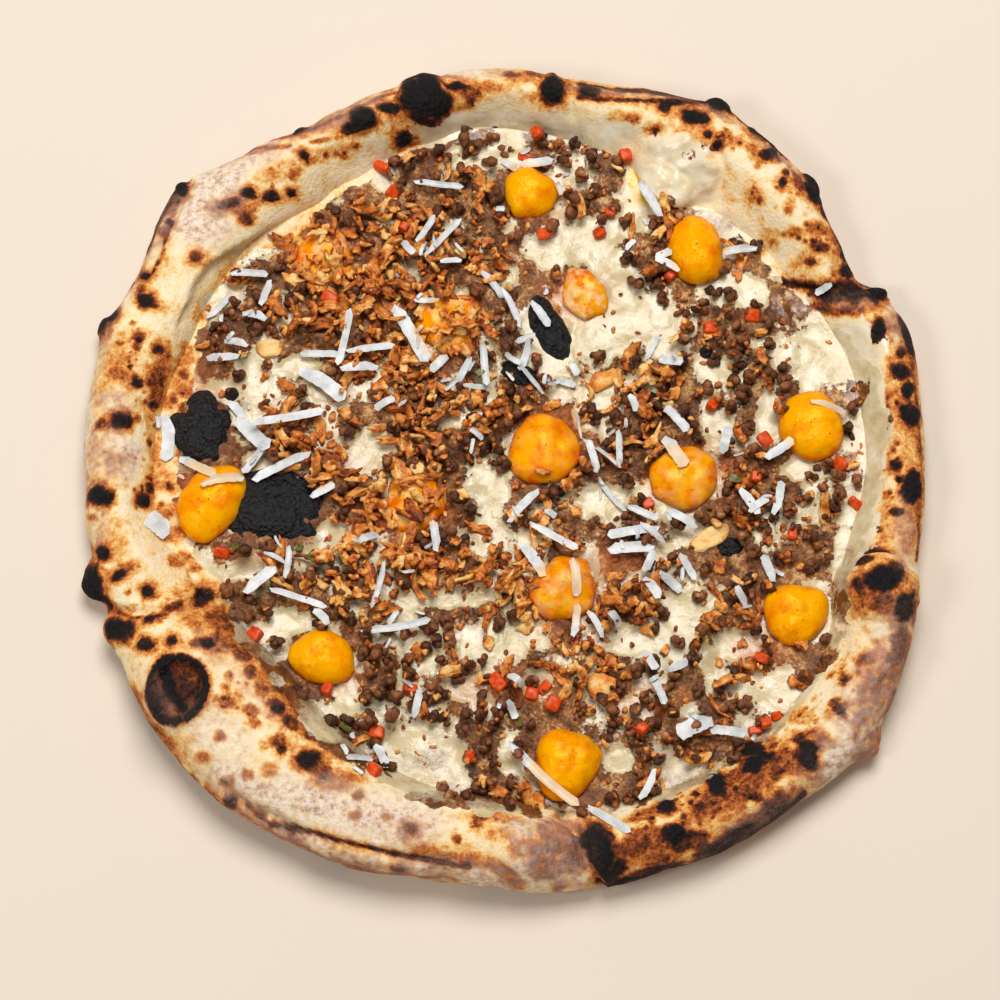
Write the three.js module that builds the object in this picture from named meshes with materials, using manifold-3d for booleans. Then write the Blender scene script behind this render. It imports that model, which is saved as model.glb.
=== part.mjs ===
// Pork ragu pizza with a puffed, folded rim, about 300 mm across, lying flat on its base.
// Millimetres, +Z up, +X to the right and +Y to the far side. The origin is under the pizza's
// middle, on the surface that it lies on.
//
// The crust is one baked piece of dough: floor, rim, blisters and the charred bubbles that come up
// through the topping. The topping bed is melted cheese and ragu, with the mince, fried onion,
// carrot and shaved cheese that show fused on. The sauce dollops and the largest shallot crisps
// lie on the bed as pieces of their own.
import * as THREE from "three";
import { mergeVertices } from "three/addons/utils/BufferGeometryUtils.js";
import Module from "manifold-3d";

const wasm = await Module();
wasm.setup();

// ---- Driving dimensions ----

const STATIONS = 108; // directions round the pizza at which the rim's section is made
const FLOOR_TOP = 3; // thickness of the dough under the topping
const BED_TOP = 7.6; // height of the cheese and ragu's bare surface
const GAP = 0.35; // clearance between pieces that touch
const CREST_SHARE = 0.42; // how far in from the outside the rim's crest lies, as a share of its width
const WIDEST_SHARE = 0.45; // height of the rim's widest line, as a share of the crest's height
const UNDERCUT = 12; // how far the rim's underside curls in before it meets the table
const LIP_POWER = 2.4; // squareness of a steep inner slope
const DOUGH_LUMP = { height: 1.1, spacing: 17 }; // the dough's own unevenness

// The rim every 10 degrees, counter-clockwise from the right: outer radius, width to the foot of
// the inner slope, height of the crest, and how steep that slope is, from 0, eased, to 1, a lip.
const RIM = [
  [151.5, 25, 19, 0.25], // right, where the cheese runs up a thin rim
  [153, 27, 19, 0.15],
  [155, 30, 19, 0.15],
  [147.5, 26, 20, 0.15],
  [152, 31, 22, 0.2],
  [156.5, 37, 23, 0.2], // far right, the widest bulge on that side
  [157, 39, 23, 0.2],
  [153, 33.5, 22, 0.15],
  [149, 27, 22, 0.1],
  [150.5, 26, 23, 0.1], // far side
  [149.5, 25, 24, 0.15],
  [147, 26, 24, 0.3],
  [146.5, 27, 23, 0.5],
  [151.5, 31, 22, 0.8],
  [157, 36, 22, 1], // far left, with a sharp lip over a shaded wall
  [150.5, 30, 21, 1],
  [151, 30, 20, 0.9],
  [151, 29, 20, 0.7],
  [149, 27, 20, 0.6], // left
  [149.5, 29, 20, 0.4],
  [150.5, 35, 22, 0.6],
  [154, 44, 25, 0.9],
  [156.5, 50, 28, 1], // near left, a fat lobe rolled in over the topping
  [158, 50, 28, 1],
  [157, 45, 27, 1],
  [156.5, 40, 26, 0.9],
  [153.5, 34, 26, 0.9],
  [154, 33.5, 26, 0.9], // near side
  [158, 33, 24, 0.6],
  [158, 31, 23, 0.5],
  [160.5, 32, 22, 0.4],
  [161, 31, 21, 0.4],
  [164.5, 33, 21, 0.4], // near right
  [161, 31, 21, 0.4],
  [156.5, 31, 23, 0.5],
  [152, 27, 22, 0.5],
];

// Creases where one lobe of the rim folds against the next: direction in degrees, how far the
// crest drops there, and the crease's half width in degrees.
const FOLDS = [
  { at: 28, drop: 5, half: 3.2 },
  { at: 204, drop: 5, half: 4 },
  { at: 281, drop: 6, half: 3.5 },
  { at: 346, drop: 3.5, half: 3 },
];

// Blisters on the rim: place of the middle, radius in plan, and how far each stands proud.
const BLISTERS = [
  { x: -29, y: 134.5, radius: 9, proud: 4.2 },
  { x: -51.5, y: 126.5, radius: 6.2, proud: 2.8 },
  { x: 18.5, y: 139.5, radius: 5, proud: 2.2 },
  { x: -115, y: 101, radius: 4.2, proud: 1.8 },
  { x: -142.5, y: 50.5, radius: 4.6, proud: 2 },
  { x: -143.5, y: -44, radius: 6.4, proud: 2 },
  { x: -135, y: -62.5, radius: 6, proud: 2 },
  { x: 78.5, y: 133, radius: 5, proud: 2 },
  { x: 112, y: 102.5, radius: 4.5, proud: 1.8 },
  { x: 135.5, y: 63.5, radius: 4.5, proud: 2 },
  { x: 62.5, y: 108.5, radius: 12.5, proud: 3.6 },
  { x: 132.5, y: -48, radius: 13.5, proud: 3.6 },
];
const BURST_BLISTER = { x: -112.5, y: -86, radius: 11, proud: 2.4, hollow: 8, depth: 3.4 };
const EDGE_KNOB = { x: 128.5, y: -102, z: 7.5, radius: 6 }; // a nub of dough on the outer wall

// Charred bubbles of the floor that stand up through the topping: place, half length, half width,
// turn in degrees and the height of the top.
const CHAR_BUBBLES = [
  { x: -106.5, y: 13, long: 11.5, wide: 9, turn: 85, top: 11 },
  { x: -77.5, y: -17.5, long: 14, wide: 10, turn: -8, top: 11 },
  { x: 16.5, y: 50, long: 12.5, wide: 6, turn: -62, top: 10.8 },
  { x: 6.5, y: 32.5, long: 9, wide: 5.5, turn: -18, top: 10.2 },
  { x: 52, y: 22, long: 10, wide: 4.6, turn: -48, top: 10.4 },
  { x: 83, y: -33.5, long: 6.5, wide: 4, turn: 25, top: 10 },
];

// Sauce dollops: place, half length, half width, height above the bed, turn in degrees, and how
// lobed the outline is. The low ones have melted into the topping.
const DOLLOPS = [
  { x: 10, y: 103, long: 10.4, wide: 10, tall: 8, turn: 0, lobes: 0.1 },
  { x: 70.5, y: 80.5, long: 13.6, wide: 10.4, tall: 9, turn: 100, lobes: 0.03 },
  { x: -64.5, y: 78, long: 12.5, wide: 12, tall: 5, turn: 20, lobes: 0.1 },
  { x: -19, y: 53, long: 14, wide: 11.5, tall: 5.5, turn: 20, lobes: 0.12 },
  { x: 29.5, y: 64, long: 12.5, wide: 8.5, tall: 4.2, turn: 118, lobes: 0.12 },
  { x: 111, y: 14, long: 14.2, wide: 11.8, tall: 8, turn: 100, lobes: 0.08 },
  { x: 15, y: 5, long: 14.4, wide: 13.2, tall: 7, turn: 60, lobes: 0.08 },
  { x: 65, y: -5, long: 13, wide: 12, tall: 6.5, turn: 30, lobes: 0.1 },
  { x: -103.5, y: -14.5, long: 17, wide: 11.8, tall: 8, turn: 62, lobes: 0.04 },
  { x: -31, y: -14, long: 13.5, wide: 12.5, tall: 4.8, turn: 45, lobes: 0.1 },
  { x: 22, y: -46, long: 13.4, wide: 12, tall: 7, turn: 50, lobes: 0.1 },
  { x: 103.5, y: -55, long: 12.6, wide: 11.8, tall: 8, turn: 15, lobes: 0.08 },
  { x: -63, y: -71, long: 12.2, wide: 10.2, tall: 7.5, turn: -20, lobes: 0.08 },
  { x: 22.5, y: -109, long: 13.8, wide: 12.2, tall: 9, turn: 70, lobes: 0.1 },
];
const DOLLOP_SIDES = 12;
const DOLLOP_TIERS = [0.12, 0.36, 0.64, 0.86]; // heights of the dome's rings, as shares of its height

// The largest shallot crisps: place, length, width, thickness and turn in degrees.
const CRISPS = [
  { x: 74, y: -27.5, long: 21, wide: 7.5, thick: 1.8, turn: 31 },
  { x: 37, y: 31.5, long: 14, wide: 7, thick: 1.8, turn: 28 },
  { x: -83.5, y: 43.5, long: 11, wide: 7.5, thick: 1.6, turn: 8 },
  { x: 35, y: -81, long: 12, wide: 9, thick: 2, turn: -15 },
  { x: 20, y: -77, long: 15, wide: 4.5, thick: 1.5, turn: -52 },
  { x: -65, y: 13.5, long: 17, wide: 4, thick: 1.5, turn: 98 },
];

// Bare pools of melted cheese, where no mince shows: place, half length, half width and turn.
const POOLS = [
  { x: 35.5, y: 54.5, long: 22, wide: 13, turn: -55 },
  { x: -27, y: -107.5, long: 16, wide: 11, turn: 0 },
  { x: -47.5, y: 5.5, long: 13, wide: 9, turn: 10 },
  { x: -4.5, y: -9.5, long: 9, wide: 12, turn: 0 },
  { x: 118, y: 42.5, long: 14, wide: 10, turn: 100 },
  { x: -1, y: -64.5, long: 16, wide: 7, turn: 0 },
];

// The parts of the bed where the mince and the fried onion lie thickest.
const MINCE_HEAPS = [
  { x: -1, y: 105, long: 46, wide: 18, turn: 0 },
  { x: 68, y: 43, long: 44, wide: 28, turn: -60 },
  { x: 100, y: -22, long: 46, wide: 20, turn: 95 },
  { x: 16, y: -92, long: 74, wide: 26, turn: 4 },
  { x: -84, y: 56, long: 28, wide: 18, turn: 60 },
  { x: -90, y: -48, long: 18, wide: 14, turn: -40 },
];
const ONION_HEAPS = [
  { x: -37, y: 46, long: 44, wide: 40, turn: 0 },
  { x: -28, y: -30, long: 36, wide: 16, turn: 0 },
  { x: 25, y: -64, long: 30, wide: 14, turn: 0 },
];

// What lies fused on the bed: how many of each kind, and their sizes.
const MINCE = { count: 74, small: 2.4, large: 4.2 };
const ONION = { count: 32, long: 7, wide: 3.2, thick: 1.3 };
const CARROT = { count: 14, side: 4.4 };
const SHAVING = { count: 28, short: 11, long: 19, wide: 3.8, thick: 0.9 };

// ---- Small tools ----

const radians = THREE.MathUtils.degToRad;
const mix = THREE.MathUtils.lerp;

// A repeatable stream of numbers from 0 to 1.
function draws(seed) {
  let state = seed;
  return () => {
    state = (state * 1664525 + 1013904223) % 4294967296;
    return state / 4294967296;
  };
}

// Smooth unevenness from -1 to 1, with features about one unit across.
function unevenness(x, y, z) {
  return (
    (Math.sin(1.7 * x + 1.3 * Math.sin(1.1 * y + 0.7 * z)) +
      Math.sin(1.9 * y + 1.2 * Math.sin(1.3 * z + 0.9 * x) + 2) +
      Math.sin(2.3 * z + 1.1 * Math.sin(1.2 * x - 0.8 * y) + 4)) /
    3
  );
}

// A value of the rim's stations at any direction, on a smooth closed curve through them.
function rimValue(column, degrees) {
  const step = 360 / RIM.length;
  const at = (((degrees % 360) + 360) % 360) / step;
  const before = Math.floor(at);
  const t = at - before;
  const [a, b, c, d] = [-1, 0, 1, 2].map((k) => RIM[(before + k + RIM.length) % RIM.length][column]);
  return b + 0.5 * t * (c - a + t * (2 * a - 5 * b + 4 * c - d + t * (3 * (b - c) + d - a)));
}

// How deep the rim is creased at a direction, in millimetres of the crest's height.
function foldDrop(degrees) {
  return FOLDS.reduce((sum, fold) => {
    const away = ((degrees - fold.at + 540) % 360) - 180;
    return sum + fold.drop * Math.exp(-((away / fold.half) ** 2));
  }, 0);
}

// A closed body from rings of points, all with as many points, between two end points.
function bodyOfRings(first, rings, last) {
  const sides = rings[0].length;
  const points = [first, ...rings.flat(), last];
  const lastIndex = points.length - 1;
  const index = [];
  for (let j = 0; j < sides; j += 1) {
    const next = (j + 1) % sides;
    index.push(0, 1 + j, 1 + next);
    for (let ring = 0; ring < rings.length - 1; ring += 1) {
      const here = 1 + ring * sides;
      const below = here + sides;
      index.push(here + j, below + j, below + next);
      index.push(here + j, below + next, here + next);
    }
    const foot = 1 + (rings.length - 1) * sides;
    index.push(lastIndex, foot + next, foot + j);
  }
  const geometry = new THREE.BufferGeometry().setFromPoints(points);
  geometry.setIndex(index);
  return geometry;
}

// A closed mesh as a solid that can be joined and cut.
function solidOf(geometry, matrix = new THREE.Matrix4()) {
  const bare = geometry.clone().applyMatrix4(matrix);
  bare.deleteAttribute("normal");
  bare.deleteAttribute("uv");
  const merged = mergeVertices(bare, 1e-4);
  const solid = new wasm.Manifold(
    new wasm.Mesh({
      numProp: 3,
      vertProperties: merged.getAttribute("position").array,
      triVerts: new Uint32Array(merged.index.array),
    }),
  );
  return solid;
}

function geometryOf(solid) {
  const mesh = solid.getMesh();
  const geometry = new THREE.BufferGeometry();
  geometry.setAttribute("position", new THREE.BufferAttribute(mesh.vertProperties, 3));
  geometry.setIndex(new THREE.BufferAttribute(mesh.triVerts, 1));
  geometry.computeVertexNormals();
  return geometry;
}

// A matrix that stretches, turns about +Z, tilts and then places a piece.
function placing(x, y, z, turn, stretch, tilt = 0, tiltTowards = 0) {
  const turned = new THREE.Quaternion().setFromAxisAngle(new THREE.Vector3(0, 0, 1), turn);
  const axis = new THREE.Vector3(Math.cos(tiltTowards), Math.sin(tiltTowards), 0);
  const tilted = new THREE.Quaternion().setFromAxisAngle(axis, tilt);
  return new THREE.Matrix4().compose(new THREE.Vector3(x, y, z), tilted.multiply(turned), stretch);
}

// An egg-shaped lump with the given half sizes.
function lump(detail, x, y, z, stretch, turn = 0) {
  const ball = new THREE.IcosahedronGeometry(1, detail);
  return solidOf(ball, placing(x, y, z, turn, new THREE.Vector3(...stretch)));
}

// Whether a point lies inside an ellipse that has been grown by a margin.
function inEllipse(x, y, oval, margin) {
  const turn = radians(oval.turn);
  const along = (x - oval.x) * Math.cos(turn) + (y - oval.y) * Math.sin(turn);
  const across = (y - oval.y) * Math.cos(turn) - (x - oval.x) * Math.sin(turn);
  return Math.hypot(along / (oval.long + margin), across / (oval.wide + margin)) < 1;
}

// ---- The crust ----

// How high the inner slope has risen, from 0 to 1, at a share of the way from foot to crest.
function slopeRise(share, steepness) {
  const eased = share * share * (3 - 2 * share);
  const lip = (1 - (1 - share) ** LIP_POWER) ** (1 / LIP_POWER);
  return mix(eased, lip, steepness);
}

// The rim's section at one direction, from the foot of the inner slope over the crest and round
// the outside to where it meets the table.
const SLOPE_SHARES = [0, 0.07, 0.18, 0.34, 0.52, 0.7, 0.86, 1];
const OUTER_TURNS = [25, 48, 70, 90];
const UNDER_TURNS = [35, 90];
function rimSection(degrees) {
  const [outer, width, crest, steepness] = [0, 1, 2, 3].map((column) => rimValue(column, degrees));
  const drop = foldDrop(degrees);
  const top = crest - drop;
  const rim = outer - 0.35 * drop;
  const foot = outer - width;
  const crestRadius = rim - CREST_SHARE * width;
  const widest = WIDEST_SHARE * top;
  const rise = Math.min(1, Math.max(0, steepness));
  const section = SLOPE_SHARES.map((share) => ({
    r: mix(foot, crestRadius, share),
    z: mix(FLOOR_TOP, top, slopeRise(share, rise)),
  }));
  for (const turn of OUTER_TURNS.map(radians)) {
    section.push({
      r: crestRadius + (rim - crestRadius) * Math.sin(turn),
      z: widest + (top - widest) * Math.cos(turn),
    });
  }
  for (const turn of UNDER_TURNS.map(radians)) {
    section.push({ r: rim - UNDERCUT + UNDERCUT * Math.cos(turn), z: widest * (1 - Math.sin(turn)) });
  }
  return section;
}

// Moves the free surface of a section in and out a little. The foot and the underside stay.
function lumpySection(degrees) {
  const angle = radians(degrees);
  const section = rimSection(degrees);
  const lastIndex = section.length - 1;
  return section.map((point, k) => {
    const scale = DOUGH_LUMP.spacing;
    const bump = unevenness(
      (point.r * Math.cos(angle)) / scale,
      (point.r * Math.sin(angle)) / scale,
      point.z / scale,
    );
    const free = Math.sin((Math.PI * k) / lastIndex) * DOUGH_LUMP.height;
    return { r: point.r + 0.6 * bump * free, z: point.z + bump * free };
  });
}

const sections = Array.from({ length: STATIONS }, (_, j) => lumpySection((360 * j) / STATIONS));

// A ring of points whose radius and height come from each station's section.
function ringAt(radiusOf, heightOf, every = 1) {
  const chosen = sections.filter((_, j) => j % every === 0);
  return chosen.map((section, j) => {
    const angle = (2 * Math.PI * j) / chosen.length;
    const radius = radiusOf(section);
    return new THREE.Vector3(radius * Math.cos(angle), radius * Math.sin(angle), heightOf(section));
  });
}

// The height of the crust's upper side above a point of the table.
function crustTopAt(x, y) {
  const degrees = THREE.MathUtils.radToDeg(Math.atan2(y, x));
  const radius = Math.hypot(x, y);
  const section = rimSection(degrees);
  const after = section.findIndex((point) => point.r > radius);
  if (after < 1) return after === 0 ? FLOOR_TOP : WIDEST_SHARE * rimValue(2, degrees);
  const [a, b] = [section[after - 1], section[after]];
  return mix(a.z, b.z, (radius - a.r) / (b.r - a.r));
}

// A low dome: the top half and a little more of a flattened ball.
function blisterSolid({ x, y, radius, proud }, margin) {
  const half = 2 * proud;
  const wide = radius / Math.sqrt(1 - (proud / half) ** 2) + margin;
  const detail = radius > 8 ? 2 : 1;
  return lump(detail, x, y, crustTopAt(x, y) - proud, [wide, wide, half + margin]);
}

function charBubbleSolid(bubble, margin) {
  const { x, y, long, wide, turn, top } = bubble;
  const base = FLOOR_TOP - 1;
  const stretch = [long + margin, wide + margin, top - base + margin];
  const dome = lump(1, x, y, base, stretch, radians(turn));
  const below = new THREE.BoxGeometry(200, 200, 100).translate(x, y, FLOOR_TOP - 1.5 - 50);
  return dome.subtract(solidOf(below));
}

function crustSolid() {
  const rings = [];
  for (let k = 0; k < sections[0].length; k += 1) {
    rings.push(ringAt((section) => section[k].r, (section) => section[k].z));
  }
  const top = new THREE.Vector3(0, 0, FLOOR_TOP);
  const bottom = new THREE.Vector3(0, 0, 0);
  let crust = solidOf(bodyOfRings(top, rings, bottom));
  for (const blister of BLISTERS) crust = crust.add(blisterSolid(blister, 0));
  for (const bubble of CHAR_BUBBLES) crust = crust.add(charBubbleSolid(bubble, 0));
  crust = crust.add(blisterSolid(BURST_BLISTER, 0));
  const { x, y, proud, hollow, depth } = BURST_BLISTER;
  const mouth = crustTopAt(x, y) + proud;
  crust = crust.subtract(lump(1, x, y, mouth, [hollow, hollow, depth]));
  const knob = EDGE_KNOB;
  return crust.add(lump(1, knob.x, knob.y, knob.z, [knob.radius, knob.radius, knob.radius * 0.85]));
}

// ---- The topping bed ----

// The radius at which the inner slope of a section reaches a height.
function slopeRadiusAt(section, height) {
  const after = section.findIndex((point) => point.z >= height);
  if (after < 1) return section[0].r;
  const [a, b] = [section[after - 1], section[after]];
  return mix(a.r, b.r, (height - a.z) / (b.z - a.z));
}

// The bare bed: a low disc that fills the floor out to the slope, a little clear of the dough.
const SIDE_GAP = 0.9;
const BED_EVERY = 2; // the bed's edge follows every second station of the rim
function bareBed() {
  const underside = FLOOR_TOP + GAP;
  const levels = [BED_TOP, mix(underside, BED_TOP, 0.5), underside];
  const edge = (level) => (section) => slopeRadiusAt(section, level) - SIDE_GAP;
  const rings = levels.map((level) => ringAt(edge(level), () => level, BED_EVERY));
  const top = new THREE.Vector3(0, 0, BED_TOP);
  const bottom = new THREE.Vector3(0, 0, underside);
  return solidOf(bodyOfRings(top, rings, bottom));
}

function edgeRadius(x, y) {
  const j = Math.round((Math.atan2(y, x) / (2 * Math.PI)) * STATIONS + STATIONS) % STATIONS;
  return slopeRadiusAt(sections[j], FLOOR_TOP + GAP) - SIDE_GAP;
}

// Whether a piece of the given reach lies clear of the rim, dollops, crisps and char bubbles.
function isFree(x, y, reach) {
  if (Math.hypot(x, y) > edgeRadius(x, y) - reach - 1) return false;
  if (DOLLOPS.some((dollop) => inEllipse(x, y, dollop, 2.5 + reach))) return false;
  if (CHAR_BUBBLES.some((bubble) => inEllipse(x, y, bubble, 1 + reach))) return false;
  return !CRISPS.some((crisp) => {
    const oval = { ...crisp, long: crisp.long / 2, wide: crisp.wide / 2 };
    return inEllipse(x, y, oval, 1.5 + reach);
  });
}

// Even, slightly jittered places on the bed: a sunflower spiral.
const GOLDEN_TURN = Math.PI * (3 - Math.sqrt(5));
function spread(count, outerRadius, jitter, random) {
  return Array.from({ length: count }, (_, k) => {
    const radius = outerRadius * Math.sqrt((k + 0.5) / count);
    const angle = k * GOLDEN_TURN;
    return {
      x: radius * Math.cos(angle) + jitter * (random() - 0.5),
      y: radius * Math.sin(angle) + jitter * (random() - 0.5),
    };
  });
}

// Up to a kind's count of clear places. A kind with heaps lies mostly in them.
function placesFor({ kind, reach, tries, seed, heaps = [], strays = 1, pools = [] }) {
  const random = draws(seed);
  const found = spread(tries, 124, 8, random).filter(({ x, y }) => {
    const astray = !heaps.some((heap) => inEllipse(x, y, heap, 0));
    if (astray && random() > strays) return false;
    if (pools.some((pool) => inEllipse(x, y, pool, 0))) return false;
    return isFree(x, y, reach);
  });
  const keepEvery = Math.max(1, found.length / kind.count);
  return found.filter((_, k) => Math.floor((k + 1) / keepEvery) > Math.floor(k / keepEvery));
}

function mincePieces() {
  const random = draws(11);
  const rule = { kind: MINCE, reach: MINCE.large, tries: 420, seed: 3, heaps: MINCE_HEAPS };
  return placesFor({ ...rule, strays: 0.25, pools: POOLS }).map(({ x, y }) => {
    const size = mix(MINCE.small, MINCE.large, random() ** 1.5);
    const stretch = [size, size * mix(0.7, 1, random()), size * mix(0.6, 0.85, random())];
    return lump(0, x, y, BED_TOP + 0.3 * size, stretch, 2 * Math.PI * random());
  });
}

const EVEN = new THREE.Vector3(1, 1, 1);

function onionPieces() {
  const random = draws(23);
  const rule = { kind: ONION, reach: ONION.long / 2, tries: 360, seed: 5, heaps: ONION_HEAPS };
  return placesFor({ ...rule, strays: 0.15 }).map(({ x, y }) => {
    const flake = new THREE.BoxGeometry(ONION.long * mix(0.6, 1, random()), ONION.wide, ONION.thick);
    const turn = 2 * Math.PI * random();
    const tilt = radians(mix(8, 38, random()));
    return solidOf(flake, placing(x, y, BED_TOP + 0.7, turn, EVEN, tilt, 2 * Math.PI * random()));
  });
}

function carrotPieces() {
  const random = draws(31);
  const rule = { kind: CARROT, reach: CARROT.side, tries: 110, seed: 7, heaps: MINCE_HEAPS };
  return placesFor({ ...rule, strays: 0.2 }).map(({ x, y }) => {
    const dice = new THREE.BoxGeometry(CARROT.side, CARROT.side * 0.8, CARROT.side * 0.7);
    const turn = 2 * Math.PI * random();
    return solidOf(dice, placing(x, y, BED_TOP + 0.6, turn, EVEN, radians(17), 2 * Math.PI * random()));
  });
}

// One shaving of hard cheese: a thin strip that tapers and arches, lying partly in the bed.
const SHAVING_CUTS = [0, 0.5, 1];
function shavingStrip(long, wide, arch, sway) {
  const rings = SHAVING_CUTS.map((share) => {
    const x = (share - 0.5) * long;
    const half = 0.5 * wide * (0.62 + 0.38 * Math.sin(Math.PI * mix(0.15, 0.95, share)));
    const y = sway * Math.sin(Math.PI * share);
    const z = arch * Math.sin(Math.PI * share);
    const low = z - SHAVING.thick / 2;
    const high = z + SHAVING.thick / 2;
    return [
      new THREE.Vector3(x, y + half, high),
      new THREE.Vector3(x, y + half, low),
      new THREE.Vector3(x, y - half, low),
      new THREE.Vector3(x, y - half, high),
    ];
  });
  const end = 0.5 * long + 0.6;
  return bodyOfRings(new THREE.Vector3(-end, 0, 0), rings, new THREE.Vector3(end, 0, 0));
}

function shavingPieces() {
  const random = draws(47);
  const rule = { kind: SHAVING, reach: SHAVING.short / 2, tries: 240, seed: 9 };
  return placesFor(rule).map(({ x, y }) => {
    const room = isFree(x, y, SHAVING.long / 2) ? SHAVING.long : SHAVING.short;
    const long = mix(SHAVING.short, room, random());
    const wide = SHAVING.wide * mix(0.75, 1.2, random());
    const strip = shavingStrip(long, wide, mix(0.3, 1.2, random()), random() - 0.5);
    const turn = 2 * Math.PI * random();
    const tilt = radians(mix(2, 7, random()));
    return solidOf(strip, placing(x, y, BED_TOP + 0.35, turn, EVEN, tilt, 2 * Math.PI * random()));
  });
}

function bedSolid() {
  let bed = bareBed();
  const pieces = [...mincePieces(), ...onionPieces(), ...carrotPieces(), ...shavingPieces()];
  for (const piece of pieces) bed = bed.add(piece);
  for (const bubble of CHAR_BUBBLES) bed = bed.subtract(charBubbleSolid(bubble, GAP + 0.1));
  for (const blister of BLISTERS) bed = bed.subtract(blisterSolid(blister, GAP + 0.1));
  return bed;
}

// ---- The sauce dollops ----

// One dollop: a rounded dome with a soft, lobed outline and a flat foot.
function dollopGeometry({ long, wide, tall, lobes }, phase) {
  const rings = [...DOLLOP_TIERS].reverse().map((tier) => {
    const spreadOut = Math.sqrt(1 - tier ** 2.2);
    return Array.from({ length: DOLLOP_SIDES }, (_, j) => {
      const angle = (2 * Math.PI * j) / DOLLOP_SIDES;
      const lobe = 1 + lobes * Math.cos(3 * angle + phase) + 0.5 * lobes * Math.sin(5 * angle + 2 * phase);
      const reach = spreadOut * lobe;
      return new THREE.Vector3(long * reach * Math.cos(angle), wide * reach * Math.sin(angle), tall * tier);
    });
  });
  const foot = rings.at(-1).map((point) => new THREE.Vector3(0.93 * point.x, 0.93 * point.y, 0));
  const peak = new THREE.Vector3(0.08 * long, 0, tall);
  return bodyOfRings(peak, [...rings, foot], new THREE.Vector3(0, 0, 0));
}

// ---- The largest shallot crisps ----

// One crisp: a thin, buckled plate with a ragged outline.
const CRISP_SIDES = 10;
function crispGeometry({ long, wide, thick }, phase) {
  const outline = Array.from({ length: CRISP_SIDES }, (_, j) => {
    const angle = (2 * Math.PI * j) / CRISP_SIDES;
    const ragged = 1 + 0.1 * Math.sin(3 * angle + phase) + 0.06 * Math.sin(7 * angle);
    const x = 0.5 * long * ragged * Math.sign(Math.cos(angle)) * Math.abs(Math.cos(angle)) ** 0.8;
    const y = 0.5 * wide * ragged * Math.sign(Math.sin(angle)) * Math.abs(Math.sin(angle)) ** 0.8;
    return { x, y, buckle: 0.5 * thick * (1 + Math.sin(2 * angle + phase)) };
  });
  const upper = outline.map(({ x, y, buckle }) => new THREE.Vector3(x, y, thick + buckle));
  const lower = outline.map(({ x, y, buckle }) => new THREE.Vector3(x, y, buckle * 0.5));
  return bodyOfRings(new THREE.Vector3(0, 0, thick * 1.3), [upper, lower], new THREE.Vector3(0, 0, 0.1));
}

// ---- The whole pizza ----

const doughFinish = new THREE.MeshStandardMaterial({ color: 0xd9b27c, roughness: 0.85, metalness: 0 });
const bedFinish = new THREE.MeshStandardMaterial({ color: 0x9a6a3e, roughness: 0.5, metalness: 0 });
const sauceFinish = new THREE.MeshStandardMaterial({ color: 0xf7a516, roughness: 0.35, metalness: 0 });
const crispFinish = new THREE.MeshStandardMaterial({ color: 0xc98a3a, roughness: 0.6, metalness: 0 });

const pizza = new THREE.Group();

function addPiece(name, geometry, finish, x = 0, y = 0, z = 0, turn = 0) {
  const mesh = new THREE.Mesh(geometry, finish);
  mesh.name = name;
  mesh.position.set(x, y, z);
  mesh.rotation.z = radians(turn);
  pizza.add(mesh);
  return mesh;
}

const crustGeometry = geometryOf(crustSolid());
addPiece("crust", crustGeometry, doughFinish);
addPiece("topping_bed", geometryOf(bedSolid()), bedFinish);
DOLLOPS.forEach((dollop, k) => {
  const name = `sauce_dollop_${String(k + 1).padStart(2, "0")}`;
  addPiece(name, dollopGeometry(dollop, 1.7 * k), sauceFinish, dollop.x, dollop.y, BED_TOP + GAP, dollop.turn);
});
CRISPS.forEach((crisp, k) => {
  const name = `shallot_crisp_${k + 1}`;
  addPiece(name, crispGeometry(crisp, 2.3 * k), crispFinish, crisp.x, crisp.y, BED_TOP + GAP, crisp.turn);
});

// The origin goes under the middle of the crust's outline.
crustGeometry.computeBoundingBox();
const middle = crustGeometry.boundingBox.getCenter(new THREE.Vector3());
pizza.position.set(-middle.x, -middle.y, 0);

const part = new THREE.Group();
part.add(pizza);
export default part;
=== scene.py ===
import math
from itertools import product

import bmesh
import bpy
import numpy as np
from mathutils import Matrix, Vector
from mathutils.bvhtree import BVHTree


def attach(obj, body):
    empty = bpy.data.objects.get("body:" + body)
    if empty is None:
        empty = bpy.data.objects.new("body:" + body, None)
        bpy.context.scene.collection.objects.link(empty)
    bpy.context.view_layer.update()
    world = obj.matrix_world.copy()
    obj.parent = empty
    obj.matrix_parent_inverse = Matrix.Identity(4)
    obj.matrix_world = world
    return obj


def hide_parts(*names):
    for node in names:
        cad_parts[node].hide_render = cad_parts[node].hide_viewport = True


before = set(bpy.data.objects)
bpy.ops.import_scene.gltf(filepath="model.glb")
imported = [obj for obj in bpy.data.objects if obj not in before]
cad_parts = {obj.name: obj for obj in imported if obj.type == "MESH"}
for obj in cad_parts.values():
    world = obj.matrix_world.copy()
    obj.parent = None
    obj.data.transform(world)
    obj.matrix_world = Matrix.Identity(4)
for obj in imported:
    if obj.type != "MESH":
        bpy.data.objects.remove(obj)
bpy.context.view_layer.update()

# ---- The view ----
# The pizza is seen from in front and well above, through a long lens, so its near wall just shows.
# Pixel places below are read off a square photograph of PHOTO_SIDE pixels, from the top left.
PHOTO_SIDE = 1000
ELEVATION = math.radians(74)
DISTANCE = 1.3
FOCAL_PX = 3640
AIM = Vector((0.0, 0.0, 0.008))
AIM_PX = (502.5, 471.5)
SENSOR = 36.0

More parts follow.
